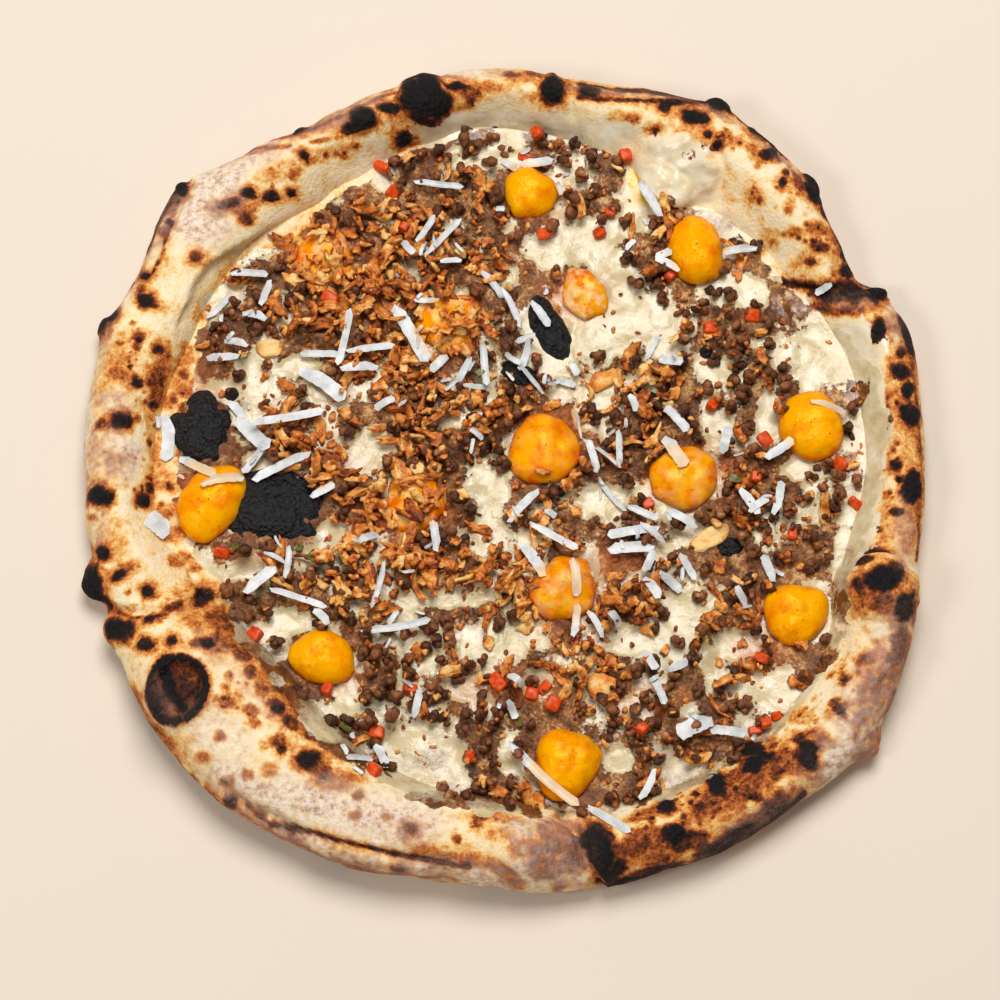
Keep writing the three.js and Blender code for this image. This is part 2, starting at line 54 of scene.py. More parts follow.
ahead = Vector((0.0, math.cos(ELEVATION), -math.sin(ELEVATION)))
rightward = Vector((1.0, 0.0, 0.0))
upward = rightward.cross(ahead)
middle = PHOTO_SIDE / 2
metre_per_px = DISTANCE / FOCAL_PX
eye = AIM - ahead * DISTANCE - rightward * (AIM_PX[0] - middle) * metre_per_px
eye -= upward * (middle - AIM_PX[1]) * metre_per_px

camera_data = bpy.data.cameras.new("camera")
camera_data.sensor_width = SENSOR
camera_data.lens = SENSOR * FOCAL_PX / PHOTO_SIDE
camera = bpy.data.objects.new("camera", camera_data)
camera.location = eye
camera.rotation_euler = (math.pi / 2 - ELEVATION, 0.0, 0.0)
bpy.context.scene.collection.objects.link(camera)
bpy.context.scene.camera = camera


def pixel_ray(x, y):
    """The direction from the camera through a pixel of the photograph."""
    ray = ahead * FOCAL_PX + rightward * (x - middle) + upward * (middle - y)
    return ray.normalized()


def pixels_of(points):
    """Where points in metres, one a row, lie in the photograph."""
    away = points - np.array(eye)
    depth = away @ np.array(ahead)
    across = middle + FOCAL_PX * (away @ np.array(rightward)) / depth
    down = middle - FOCAL_PX * (away @ np.array(upward)) / depth
    return np.stack([across, down], axis=1)


# ---- Floor and light ----
# A plain pale sweep of painted board under soft studio light: a wide overhead panel towards the
# back, and a smaller, lower panel at the left that models the rim and lights the sauce.
FLOOR_COLOUR = (0.80, 0.705, 0.585, 1.0)
FLOOR_SIDE = 12.0

floor_mesh = bpy.data.meshes.new("floor")
half = FLOOR_SIDE / 2
floor_mesh.from_pydata(
    [(-half, -half, 0), (half, -half, 0), (half, half, 0), (-half, half, 0)], [], [(0, 1, 2, 3)]
)
floor = bpy.data.objects.new("floor", floor_mesh)
bpy.context.scene.collection.objects.link(floor)
floor_paint = bpy.data.materials.new("pale_board")
floor_paint.use_nodes = True
floor_shader = floor_paint.node_tree.nodes["Principled BSDF"]
floor_shader.inputs["Base Color"].default_value = FLOOR_COLOUR
floor_shader.inputs["Roughness"].default_value = 0.9
floor_shader.inputs["Specular IOR Level"].default_value = 0.1
floor_mesh.materials.append(floor_paint)

world = bpy.data.worlds.new("studio")
world.use_nodes = True
world.node_tree.nodes["Background"].inputs["Color"].default_value = (1.0, 0.985, 0.965, 1.0)
world.node_tree.nodes["Background"].inputs["Strength"].default_value = 0.22
bpy.context.scene.world = world

# Each panel: place, width, power in watts and colour. Every one faces the pizza.
PANELS = {
    "key_panel": ((-1.0, -0.5, 1.4), 0.55, 7.5, (1.0, 0.985, 0.96)),
    "top_panel": ((0.1, 0.7, 1.8), 1.1, 31.0, (1.0, 0.99, 0.98)),
}
for panel_name, (place, width, power, colour) in PANELS.items():
    light_data = bpy.data.lights.new(panel_name, "AREA")
    light_data.shape = "DISK"
    light_data.size = width
    light_data.energy = power
    light_data.color = colour
    panel = bpy.data.objects.new(panel_name, light_data)
    panel.location = place
    panel.rotation_euler = (-Vector(place)).to_track_quat("-Z", "Y").to_euler()
    bpy.context.scene.collection.objects.link(panel)

bpy.context.scene.view_settings.view_transform = "Standard"
bpy.context.scene.view_settings.look = "None"

# ---- The crust ----
# One baked piece of leavened dough: a thin floor, and a rim that puffed up, folded over at the
# near left and caught the flame, so it is cream inside, leopard-spotted, and floury outside.
SAMPLES_ROUND = 900
INNER_REACH = 0.034
INNER_ROWS = 38
OUTER_ROWS = 50
FLOOR_SHARES = (0.0, 0.35, 0.7, 0.9)
UNDER_SHARES = (0.94, 0.8, 0.5, 0.0)


def tree_over(thing):
    """A search tree over a mesh object's faces."""
    corners = [thing.matrix_world @ v.co for v in thing.data.vertices]
    return BVHTree.FromPolygons(corners, [tuple(p.vertices) for p in thing.data.polygons])


def fuzz(points, size, seed):
    """Smooth unevenness from -1 to 1 at each point, with features about `size` across."""
    place = points / size + 31.7 * seed + 500.0
    cell = np.floor(place).astype(np.int64)
    part = place - cell
    part = part**3 * (part * (part * 6 - 15) + 10)
    total = np.zeros(len(points))
    for corner in product((0, 1), repeat=3):
        key = (cell + corner) @ np.array([73856093, 19349663, 83492791])
        key = ((key ^ (key >> 13)) * 1274126177) & 0x7FFFFFFF
        value = ((key ^ (key >> 16)) % 65536) / 32768 - 1
        total += value * np.prod(np.where(corner, part, 1 - part), axis=1)
    return total


def smoothed(values, spread, axis, wrap):
    """Values blurred along one axis of a grid, round the ring or held at its ends."""
    reach = int(3 * spread) + 1
    weights = np.exp(-0.5 * (np.arange(-reach, reach + 1) / spread) ** 2)
    weights /= weights.sum()
    pad = [(0, 0)] * values.ndim
    pad[axis] = (reach, reach)
    padded = np.pad(values, pad, mode="wrap" if wrap else "edge")
    count = values.shape[axis]
    parts = [w * np.take(padded, range(k, k + count), axis) for k, w in enumerate(weights)]
    return sum(parts)


def ramp_between(low, high, values):
    """0 below low, 1 above high, and an eased step between."""
    share = np.clip((values - low) / (high - low), 0, 1)
    return share * share * (3 - 2 * share)


def piece_from(name, points, faces, material, fields=None, crisp_edges=False):
    """A mesh object from arrays, with a number at each point for the shader."""
    mesh = bpy.data.meshes.new(name)
    points = np.asarray(points, np.float32)
    faces = np.asarray(faces, np.int32)
    mesh.vertices.add(len(points))
    mesh.vertices.foreach_set("co", points.ravel())
    mesh.loops.add(faces.size)
    mesh.loops.foreach_set("vertex_index", faces.ravel())
    mesh.polygons.add(len(faces))
    starts = np.arange(0, faces.size, faces.shape[1], dtype=np.int32)
    mesh.polygons.foreach_set("loop_start", starts)
    mesh.polygons.foreach_set("use_smooth", np.ones(len(faces), bool))
    mesh.update(calc_edges=True)
    if crisp_edges:
        mesh.set_sharp_from_angle(angle=math.radians(40))
    for field, values in (fields or {}).items():
        attribute = mesh.attributes.new(field, "FLOAT", "POINT")
        attribute.data.foreach_set("value", np.asarray(values, np.float32))
    mesh.materials.append(material)
    thing = bpy.data.objects.new(name, mesh)
    bpy.context.scene.collection.objects.link(thing)
    return thing


cad_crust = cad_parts["crust"]
crust_tree = tree_over(cad_crust)
turns = np.arange(SAMPLES_ROUND) * 2 * math.pi / SAMPLES_ROUND
DOWN = Vector((0, 0, -1))


def height_over(tree, x, y):
    """The height of a surface at a place in plan, or None beside it."""
    hit = tree.ray_cast(Vector((x, y, 0.1)), DOWN)[0]
    return None if hit is None else hit.z


# The crest: where the rim is highest at each direction, found on coarse steps and evened out.
SEARCH_RADII = np.arange(0.112, 0.150, 0.0015)
CREST_STEP, CREST_SPREAD = 5, 14
crest_radius = []
for turn in turns[::CREST_STEP]:
    places = [(r * math.cos(turn), r * math.sin(turn)) for r in SEARCH_RADII]
    heights = [height_over(crust_tree, x, y) or 0 for x, y in places]
    crest_radius.append(SEARCH_RADII[int(np.argmax(heights))])
crest_radius = smoothed(np.repeat(np.array(crest_radius), CREST_STEP), CREST_SPREAD, 0, True)

# Rings of points: the floor, the rim's inner wall, its outer wall swept round a core, the underside.
CORE_HEIGHT = 0.009
OUTER_SWEEP = 0.93
rows = [share * (crest_radius - INNER_REACH) for share in FLOOR_SHARES]
rows += [crest_radius - INNER_REACH * (1 - k / INNER_ROWS) for k in range(INNER_ROWS)]
section = np.zeros((len(rows) + OUTER_ROWS + len(UNDER_SHARES), SAMPLES_ROUND, 3))
for k, row in enumerate(rows):
    for j, radius in enumerate(row):
        x, y = radius * math.cos(turns[j]), radius * math.sin(turns[j])
        section[k, j] = (x, y, height_over(crust_tree, x, y))
first_outer = len(rows)
for k in range(OUTER_ROWS):
    lean = math.pi / 2 - math.pi * OUTER_SWEEP * k / (OUTER_ROWS - 1)
    for j, turn in enumerate(turns):
        outward = Vector((math.cos(turn), math.sin(turn), 0))
        core = outward * crest_radius[j] + Vector((0, 0, CORE_HEIGHT))
        ray = outward * math.cos(lean) + Vector((0, 0, math.sin(lean)))
        section[first_outer + k, j] = crust_tree.ray_cast(core, ray)[0]
last_outer = first_outer + OUTER_ROWS
for k, share in enumerate(UNDER_SHARES):
    rim = section[last_outer - 1]
    section[last_outer + k] = np.stack([rim[:, 0] * share, rim[:, 1] * share, 0 * rim[:, 2]], 1)

# The sampled facets are melted together, as dough is.
MELT_ROUND, MELT_ACROSS = 3.2, 2.0
soft = smoothed(smoothed(section, MELT_ROUND, 1, True), MELT_ACROSS, 0, False)
section[len(FLOOR_SHARES) : last_outer - 2] = soft[len(FLOOR_SHARES) : last_outer - 2]
section[:, :, 2] = np.maximum(section[:, :, 2], 0)


def ring_faces(row_count, column_count):
    """Quads over a grid whose columns close into a ring, facing up where rows run outward."""
    k, j = np.meshgrid(np.arange(row_count - 1), np.arange(column_count), indexing="ij")
    ahead_j = (j + 1) % column_count
    quads = [k * column_count + j, (k + 1) * column_count + j]
    quads += [(k + 1) * column_count + ahead_j, k * column_count + ahead_j]
    return np.stack(quads, axis=-1).reshape(-1, 4)


def grid_normals(grid):
    """Unit normals of a ring grid, facing out of the body."""
    along = np.gradient(grid, axis=0)
    round_ = np.roll(grid, -1, axis=1) - np.roll(grid, 1, axis=1)
    normal = np.cross(along, round_)
    return normal / np.maximum(np.linalg.norm(normal, axis=2, keepdims=True), 1e-9)


# Seams of the dough, each a line of pixels: a groove where two folds meet (depth, half width in mm)
# or, with a rise, a lip whose inner side drops away. All are pressed into the sampled form.
GROOVES = [
    ([(770, 282), (800, 290), (835, 290), (862, 283), (880, 286)], 2.2, 2.0),
    ([(103, 606), (130, 612), (165, 613), (198, 600), (215, 612)], 2.0, 1.6),
    ([(198, 600), (205, 588), (196, 572)], 1.6, 2.2),
    ([(222, 786), (250, 806), (300, 830), (350, 846), (400, 857), (450, 861)], 1.5, 1.5),
    ([(235, 815), (290, 848), (350, 868), (420, 880), (500, 886)], 1.1, 1.3),
    ([(188, 184), (174, 214), (160, 244), (146, 272)], 1.4, 1.5),
    ([(562, 812), (578, 832), (585, 858), (600, 886)], 2.4, 2.0),
    ([(560, 78), (570, 96), (572, 118)], 1.1, 1.6),
    ([(240, 636), (262, 660), (286, 692), (312, 722), (345, 756)], 0.9, 1.8),
    ([(842, 560), (858, 548), (884, 546), (905, 552)], 1.3, 1.8),
    ([(870, 640), (888, 660), (884, 690)], 1.2, 2.4),
    ([(205, 640), (240, 640), (275, 662)], 0.8, 1.6),
    ([(630, 196), (652, 212), (688, 216), (716, 200), (724, 170), (712, 140)], 1.0, 2.2),
]
LIP = [(186, 302), (192, 284), (206, 266), (224, 253), (245, 241), (268, 229), (292, 217), (318, 206)]
LIP_DROP, LIP_RISE, LIP_REACH = 2.6, 0.9, 24.0


def line_distance(pixels, corners):
    """Each pixel place's distance from a line through corners, and which side of it it is on."""
    best = np.full(len(pixels), 1e9)
    side = np.ones(len(pixels))
    for start, end in zip(np.array(corners[:-1], float), np.array(corners[1:], float)):
        along = end - start
        share = np.clip(((pixels - start) @ along) / (along @ along), 0, 1)
        away = pixels - (start + share[:, None] * along)
        distance = np.linalg.norm(away, axis=1)
        nearer = distance < best
        best[nearer] = distance[nearer]
        turn_side = along[0] * away[:, 1] - along[1] * away[:, 0]
        side[nearer] = np.sign(turn_side[nearer])
    return best, side


def oval_share(pixels, x, y, wide, tall, turn, ragged=0.0):
    """Distance from an oval's middle as a share of its half sizes, with a ragged outline."""
    lean = math.radians(turn)
    dx, dy = pixels[:, 0] - x, pixels[:, 1] - y
    along = dx * math.cos(lean) + dy * math.sin(lean)
    across = dy * math.cos(lean) - dx * math.sin(lean)
    return np.hypot(along / wide, across / tall) * (1 + ragged)


PX_PER_MM = 2.8
MM = 0.001
FIXED_ROWS = 6
normals = grid_normals(section)
flat = section.reshape(-1, 3)
crust_px = pixels_of(flat)
facing = (normals.reshape(-1, 3) * (np.array(eye) - flat)).sum(1)
facing /= np.linalg.norm(np.array(eye) - flat, axis=1)
seen = ramp_between(-0.25, 0.05, facing)
free = np.ones(section.shape[:2])
free[: len(FLOOR_SHARES)] = 0
free[last_outer - FIXED_ROWS :] = 0
free = free.reshape(-1)

relief = 0.6 * fuzz(flat, 0.013, 1) + 0.35 * fuzz(flat, 0.006, 2) + 0.14 * fuzz(flat, 0.0026, 3)
for corners, depth, half_width in GROOVES:
    distance, _ = line_distance(crust_px, corners)
    distance *= 1 + 0.3 * fuzz(flat, 0.005, 4)
    trough = np.exp(-((distance / (half_width * PX_PER_MM)) ** 2))
    shoulder = np.exp(-((distance / (2.6 * half_width * PX_PER_MM)) ** 2))
    relief -= seen * depth * (1.35 * trough - 0.35 * shoulder)
distance, side = line_distance(crust_px, LIP)
inward = np.where(side > 0, distance, -distance)
fade = np.exp(-((distance / LIP_REACH) ** 2))
relief += seen * fade * np.where(inward > 0, -LIP_DROP * ramp_between(0, 9, inward), LIP_RISE)

# Blisters: pixel place, half sizes in pixels, turn, and how far each stands proud in mm.
BLISTERS = [
    (423, 97, 27, 24, 0, 2.2), (360, 120, 17, 15, -30, 1.8), (553, 87, 14, 15, 0, 1.6),
    (102, 326, 7, 11, 20, 1.2), (183, 187, 7, 9, 30, 1.0), (300, 130, 8, 5, -20, 1.0),
    (143, 277, 5, 5, 0, 0.9), (100, 496, 12, 11, 0, 1.0), (104, 548, 12, 10, 0, 1.0),
    (95, 580, 16, 22, 0, 1.6), (118, 630, 18, 16, 30, 1.5), (145, 645, 9, 6, 0, 0.8),
    (153, 616, 12, 6, -12, 1.2), (718, 104, 13, 9, 25, 1.4), (756, 125, 9, 6, 45, 1.0),
    (690, 118, 9, 9, 0, 1.0), (768, 154, 11, 6, 0, 1.0), (812, 184, 7, 13, -35, 1.2),
    (912, 415, 9, 10, 0, 1.0), (916, 480, 8, 20, 0, 1.2), (752, 757, 14, 14, 0, 1.2),
    (720, 785, 18, 12, 35, 1.0), (672, 833, 12, 10, 0, 1.2), (806, 756, 11, 15, 0, 0.9),
    (305, 155, 6, 6, 0, 0.8), (400, 138, 13, 11, 0, 0.7), (675, 170, 42, 38, 0, 3.4),
    (880, 588, 36, 38, -20, 2.0), (603, 850, 14, 36, -12, 1.6), (880, 286, 10, 12, 0, 1.8),
    (540, 850, 46, 30, 0, 1.6), (668, 806, 10, 7, 0, 0.7), (312, 760, 13, 10, 0, 0.8),
    (115, 425, 16, 8, 0, 0.7), (190, 255, 12, 8, 0, 0.5), (872, 752, 9, 11, 0, 1.0),
    (855, 265, 8, 14, -35, 0.8), (892, 655, 12, 24, 15, 1.4), (145, 300, 10, 7, 30, 0.5),
]
for x, y, wide, tall, turn, proud in BLISTERS:
    share = oval_share(crust_px, x, y, wide, tall, turn, 0.16 * fuzz(flat, 0.006, 5))
    dome = np.clip(1 - share**2, 0, 1) ** 0.6
    moat = np.exp(-(((share - 1.12) / 0.14) ** 2))
    relief += seen * proud * (dome * (1 + 0.3 * fuzz(flat, 0.0032, 6)) - 0.18 * moat)

# The burst blister at the near left: a charred ring round a sunken, torn floor.
BURST = (178, 688, 30, 33)
share = oval_share(crust_px, *BURST, 0, 0.12 * fuzz(flat, 0.006, 7))
ring = np.exp(-(((share - 0.95) / 0.2) ** 2))
relief += seen * (1.5 * ring - 2.6 * ramp_between(0.88, 0.7, share))
flat += normals.reshape(-1, 3) * (free * MM * relief)[:, None]

# Toasted places and a few stripes of painted shade: pixel place, half sizes, turn, and how dark:
# 0.3 golden, 0.55 brown, 1 black.
TOAST_AND_SHADE = [
    # the far side
    (424, 97, 27, 25, 0, 1), (440, 106, 15, 18, 0, 1), (430, 121, 22, 8, 0, 0.74),
    (362, 118, 14, 13, -20, 1), (350, 129, 13, 8, -20, 0.88), (388, 107, 15, 6, 0, 0.86),
    (403, 138, 11, 9, 0, 0.86), (465, 127, 14, 8, 0, 0.5), (455, 86, 15, 6, 0, 0.88),
    (472, 94, 14, 9, 0, 0.62), (485, 86, 20, 7, 0, 0.44), (510, 76, 13, 4, 0, 0.62),
    (525, 79, 24, 6, 0, 0.34), (463, 104, 14, 8, 0, 0.4), (553, 88, 14, 14, 0, 1),
    (550, 98, 16, 10, 0, 0.7), (545, 75, 30, 4, 0, 0.55), (305, 155, 7, 7, 0, 0.96),
    (330, 153, 34, 9, -8, 0.34), (344, 157, 6, 4, 0, 0.5), (320, 141, 14, 4, -10, 0.52),
    (300, 130, 9, 5, -20, 0.95), (330, 122, 36, 10, -22, 0.36),
    # the upper left
    (182, 188, 8, 9, 30, 1), (176, 198, 9, 5, -60, 0.72), (172, 211, 3, 12, 25, 0.55),
    (169, 222, 5, 6, 0, 0.78), (164, 233, 7, 9, 0, 0.56), (164, 241, 4, 4, 0, 0.82),
    (163, 252, 4, 10, 10, 0.52), (157, 263, 5, 8, 40, 0.62), (145, 276, 6, 5, -20, 1),
    (152, 271, 7, 4, -45, 0.76), (141, 290, 8, 8, 0, 0.56), (145, 300, 12, 8, 25, 0.88),
    (151, 305, 9, 5, 20, 0.72), (102, 325, 9, 12, 15, 1), (111, 316, 8, 7, -35, 0.96),
    (138, 337, 8, 6, 0, 0.64), (133, 323, 5, 3, 0, 0.42), (158, 350, 9, 8, 0, 0.82),
    (125, 358, 24, 26, 0, 0.26), (133, 380, 20, 13, 0, 0.42), (118, 374, 12, 9, 0, 0.38),
    (146, 366, 8, 8, 0, 0.34), (195, 256, 10, 9, 0, 0.66), (248, 192, 8, 7, 0, 0.9),
    (272, 196, 9, 8, 0, 0.92), (290, 192, 7, 6, 0, 0.84), (293, 176, 6, 8, 0, 0.52),
    (230, 203, 14, 7, -15, 0.7), (240, 209, 15, 9, 0, 0.42), (245, 219, 10, 9, 0, 0.6),
    (280, 172, 30, 16, -25, 0.28), (262, 150, 30, 4, -8, 0.44),
    # the left, and the floor of the dough that shows beside the topping
    (121, 422, 13, 10, -5, 0.9), (106, 425, 16, 8, 0, 0.6), (98, 495, 14, 12, 0, 0.98),
    (143, 500, 9, 9, 0, 0.86), (92, 517, 6, 5, 0, 0.5), (103, 553, 10, 10, 0, 0.9),
    (93, 583, 15, 25, -8, 1), (103, 602, 8, 10, 0, 0.86), (118, 575, 11, 6, -30, 0.84),
    (147, 591, 8, 6, 0, 0.86), (128, 593, 6, 5, 0, 0.5), (134, 605, 5, 3, 0, 0.36),
    (121, 630, 16, 14, 0, 1), (152, 618, 12, 5, -25, 0.93), (145, 645, 10, 8, 0, 0.9),
    (172, 640, 9, 6, 0, 0.8), (194, 643, 8, 5, 0, 0.62), (208, 643, 9, 7, 0, 0.88),
    (230, 645, 10, 6, 0, 0.62), (205, 595, 13, 11, 0, 0.86), (190, 603, 24, 26, 0, 0.34),
    (196, 622, 22, 13, 0, 0.42), (218, 616, 20, 14, 0, 0.5), (228, 631, 16, 11, 0, 0.56),
    (196, 568, 11, 7, 0, 0.52), (182, 560, 18, 8, 0, 0.4), (166, 402, 14, 12, 0, 0.4),
    (173, 400, 6, 5, 0, 0.62), (160, 480, 20, 18, 0, 0.38), (170, 487, 7, 5, 0, 0.62),
    # (156, 440) and (150, 420) are thin stripes of painted shade, over some toast, down the valley between
    # rim and topping.
    (166, 512, 15, 13, 0, 0.46), (156, 440, 8, 34, 0, 0.3), (200, 392, 32, 9, 0, 0.5),
    (150, 420, 6, 44, 0, 0.34), (98, 395, 8, 16, 0, 0.28), (175, 535, 22, 10, 0, 0.44),
    (186, 455, 10, 26, 0, 0.5), (185, 385, 24, 14, 0, 0.36), (112, 400, 26, 40, 0, 0.24),
    (106, 468, 24, 40, 0, 0.26), (110, 540, 22, 30, 0, 0.26),
    # the near left
    (242, 655, 14, 9, 40, 0.66), (251, 672, 12, 9, 50, 0.62), (263, 690, 9, 12, -40, 0.55),
    (276, 706, 13, 8, 50, 0.74), (291, 722, 13, 8, 40, 0.62), (312, 736, 15, 8, 40, 0.6),
    (262, 655, 8, 14, -35, 0.5), (228, 676, 8, 6, 0, 0.46), (225, 688, 7, 6, 0, 0.4),
    (228, 703, 9, 8, 0, 0.62), (237, 695, 5, 4, 0, 0.36), (252, 711, 11, 8, 0, 0.52),
    (255, 722, 8, 6, 0, 0.46), (220, 737, 8, 7, 0, 0.52), (203, 757, 12, 9, 0, 0.5),
    (277, 742, 12, 10, 0, 0.55), (281, 750, 7, 6, 0, 0.76), (265, 745, 9, 7, 0, 0.4),
    (308, 760, 15, 13, 0, 0.92), (318, 768, 20, 12, 20, 0.58), (248, 775, 7, 7, 0, 0.55),
    (268, 770, 12, 10, 0, 0.44), (345, 776, 32, 9, 8, 0.42), (358, 795, 8, 7, 0, 0.46),
    (332, 783, 30, 12, 5, 0.4), (230, 803, 11, 7, 30, 0.76), (206, 793, 16, 7, 28, 0.5),
    (355, 815, 9, 7, 0, 0.5), (410, 828, 11, 9, 0, 0.62), (386, 817, 7, 6, 0, 0.46),
    (226, 781, 10, 8, 0, 0.46), (396, 868, 12, 5, 12, 0.72),
    # the near side
    (478, 821, 9, 9, 0, 0.62), (456, 838, 8, 7, 0, 0.54), (444, 846, 6, 4, 0, 0.42),
    (490, 816, 40, 7, 0, 0.3), (500, 836, 20, 10, 0, 0.36), (514, 850, 9, 14, 0, 0.46),
    (556, 850, 40, 38, 0, 0.5), (602, 855, 18, 32, -8, 1), (590, 838, 16, 14, 0, 0.97),
    (618, 868, 12, 14, 0, 0.8), (650, 846, 48, 26, -10, 0.52), (667, 805, 12, 9, 0, 0.93),
    (674, 833, 13, 12, 0, 0.98), (690, 842, 26, 12, -20, 0.7), (640, 832, 24, 8, -10, 0.5),
    # (660, 872), (735, 836) and (706, 858) darken the near right's lower edge: toast with painted shade of
    # the wall curling under.
    (650, 812, 30, 7, -14, 0.44), (660, 872, 60, 8, -12, 0.8), (735, 836, 60, 10, -27, 0.85),
    (706, 858, 30, 10, -20, 0.7),
    # the near right
    (754, 765, 13, 11, 0, 1), (752, 751, 22, 11, 0, 0.86), (718, 785, 16, 12, 30, 0.9),
    (708, 771, 14, 8, 0, 0.7), (808, 757, 13, 20, -12, 0.92), (800, 740, 11, 8, 0, 0.72),
    (755, 797, 8, 7, 0, 0.68), (700, 806, 9, 8, 0, 0.62), (735, 806, 16, 6, 0, 0.52),
    (735, 790, 80, 22, -30, 0.54), (770, 770, 50, 20, -35, 0.52), (838, 709, 9, 7, 0, 0.74),
    (845, 677, 9, 7, 0, 0.62), (866, 660, 12, 8, 0, 0.52), (800, 716, 14, 10, 0, 0.38),
    (815, 740, 24, 14, 0, 0.46), (770, 812, 50, 14, -35, 0.7), (885, 580, 22, 16, 0, 1),
    (904, 606, 14, 20, 0, 0.98), (864, 562, 15, 6, -10, 0.88), (858, 584, 7, 11, 0, 0.76),
    (868, 590, 26, 34, -20, 0.5), (882, 603, 20, 15, 0, 0.62), (900, 645, 12, 30, 12, 0.7),
    (874, 549, 20, 4, 0, 0.86), (855, 612, 10, 10, 0, 0.36), (870, 770, 10, 10, 0, 0.6),
    # the right
    (800, 286, 28, 4, 6, 0.85), (832, 294, 28, 12, 0, 0.8), (852, 290, 20, 16, 0, 0.88),
    (877, 290, 14, 18, 0, 1), (820, 306, 20, 8, 0, 0.6), (806, 313, 8, 6, 0, 0.5),
    (850, 311, 30, 8, 0, 0.52), (879, 328, 8, 13, 0, 0.86), (876, 339, 5, 5, 0, 0.8),
    (850, 255, 10, 26, -35, 0.9), (846, 272, 12, 10, 0, 0.86), (838, 240, 10, 10, 0, 0.5),
    (901, 352, 7, 7, 0, 0.72), (903, 372, 10, 10, 0, 0.8), (907, 389, 9, 9, 0, 0.86),
    (911, 415, 13, 11, 0, 1), (897, 465, 9, 9, 0, 0.82), (912, 490, 11, 21, 0, 0.95),
    (895, 511, 12, 5, 0, 0.86), (878, 530, 6, 5, 0, 0.56), (896, 440, 6, 9, 0, 0.4),
    (908, 360, 12, 60, -8, 0.34), (910, 450, 12, 50, 0, 0.34), (908, 530, 14, 50, 4, 0.34),
    (894, 400, 15, 90, -3, 0.3), (888, 520, 14, 34, 0, 0.34), (918, 470, 5, 90, 0, 0.42),
    (874, 690, 24, 56, 14, 0.42), (906, 330, 6, 34, -18, 0.82),
    # the upper right
    (590, 91, 13, 7, 0, 0.86), (600, 96, 28, 7, 0, 0.5), (632, 118, 10, 7, 0, 0.46),
    (618, 116, 22, 8, 0, 0.3), (665, 108, 7, 6, 0, 0.86), (673, 102, 12, 5, 0, 0.92),
    (655, 101, 8, 4, 0, 0.62), (692, 117, 12, 10, 0, 0.98), (703, 118, 8, 8, 0, 0.92),
    (717, 105, 16, 9, 35, 1), (708, 134, 8, 6, 0, 0.86), (718, 143, 6, 5, 0, 0.86),
    (725, 135, 11, 9, 0, 0.5), (655, 130, 6, 5, 0, 0.72), (690, 154, 13, 7, 0, 0.62),
    (665, 147, 5, 5, 0, 0.42), (713, 146, 14, 9, 0, 0.44), (735, 141, 14, 8, 0, 0.46),
    (755, 128, 12, 9, 40, 0.94), (765, 140, 8, 5, 0, 0.52), (768, 154, 12, 7, 0, 0.96),
    (752, 148, 10, 6, 0, 0.42), (783, 182, 6, 7, 0, 0.76), (785, 172, 5, 4, 0, 0.5),
    (758, 166, 5, 5, 0, 0.44), (756, 195, 13, 10, 0, 0.36), (755, 189, 4, 4, 0, 0.52),
    (790, 206, 8, 10, 0, 0.36), (770, 236, 12, 13, 0, 0.32), (796, 232, 14, 8, 0, 0.42),
    (818, 229, 16, 10, 0, 0.52), (819, 247, 14, 7, 20, 0.68), (810, 262, 9, 5, 0, 0.7),
    (800, 184, 7, 13, -30, 0.62), (812, 190, 8, 16, -30, 0.97), (700, 132, 34, 14, 15, 0.34),
]
# Toasted seams and edges, and wide bands of painted shade: lines of pixels, half width in pixels, and how
# dark.
SCORCHED_AND_SHADED = [
    ([(186, 182), (172, 200), (160, 222), (150, 246), (138, 262)], 2.5, 0.74),
    ([(132, 282), (118, 302), (100, 340), (90, 370)], 2.5, 0.6),
    ([(245, 146), (300, 134), (350, 112), (395, 92)], 2.2, 0.5),
    ([(228, 158), (250, 150), (290, 146)], 2.0, 0.56),
    ([(580, 84), (640, 91), (690, 97)], 2.2, 0.7),
    ([(578, 97), (610, 100), (660, 101), (700, 101)], 2.4, 0.62),
    ([(700, 98), (735, 112), (770, 142), (800, 168), (826, 212), (845, 246), (862, 272)], 3.2, 0.8),
    ([(880, 282), (902, 320), (914, 370), (919, 430), (921, 500), (917, 560)], 2.0, 0.5),
    ([(270, 824), (330, 838), (380, 851), (430, 862), (470, 866)], 3.0, 0.72),
    ([(246, 806), (268, 822), (300, 830)], 2.4, 0.6),
    ([(178, 780), (215, 806), (260, 836)], 4.0, 0.55),
    ([(110, 610), (134, 618), (160, 612), (182, 602)], 2.4, 0.6),
    # A dark band along the near right's lower edge: toast with painted shade of the wall curling under.
    ([(600, 886), (680, 872), (750, 838), (805, 792)], 4.0, 0.86),
    ([(780, 281), (800, 286), (830, 290)], 3.0, 0.86),
    ([(776, 281), (790, 283), (812, 286)], 5.0, 0.6),
    ([(206, 640), (240, 640), (262, 655), (280, 690), (300, 715), (330, 744)], 4.5, 0.52),
    ([(80, 420), (78, 480), (82, 545)], 2.5, 0.5),
    # The next three bands are painted shade on lightly toasted dough: the shaded inner wall under the lip
    # at the upper left, and the shaded valley between rim and topping at the left.
    ([(202, 318), (216, 292), (240, 268), (275, 248), (308, 228), (334, 210)], 9.0, 0.26),
    ([(170, 400), (176, 370), (186, 350)], 9.0, 0.32),
    ([(155, 400), (158, 375), (164, 355)], 9.0, 0.5),
    ([(420, 850), (500, 866), (520, 884)], 8.0, 0.4),
    # Painted shade, with some toast, darkening the lower outer wall of the near left fold.
    ([(128, 700), (180, 780), (250, 836), (350, 876), (450, 892)], 13.0, 0.5),
    ([(905, 640), (890, 720), (850, 780)], 9.0, 0.46),
    ([(206, 640), (240, 648), (262, 672), (284, 702), (306, 726), (340, 752)], 10.0, 0.44),
]
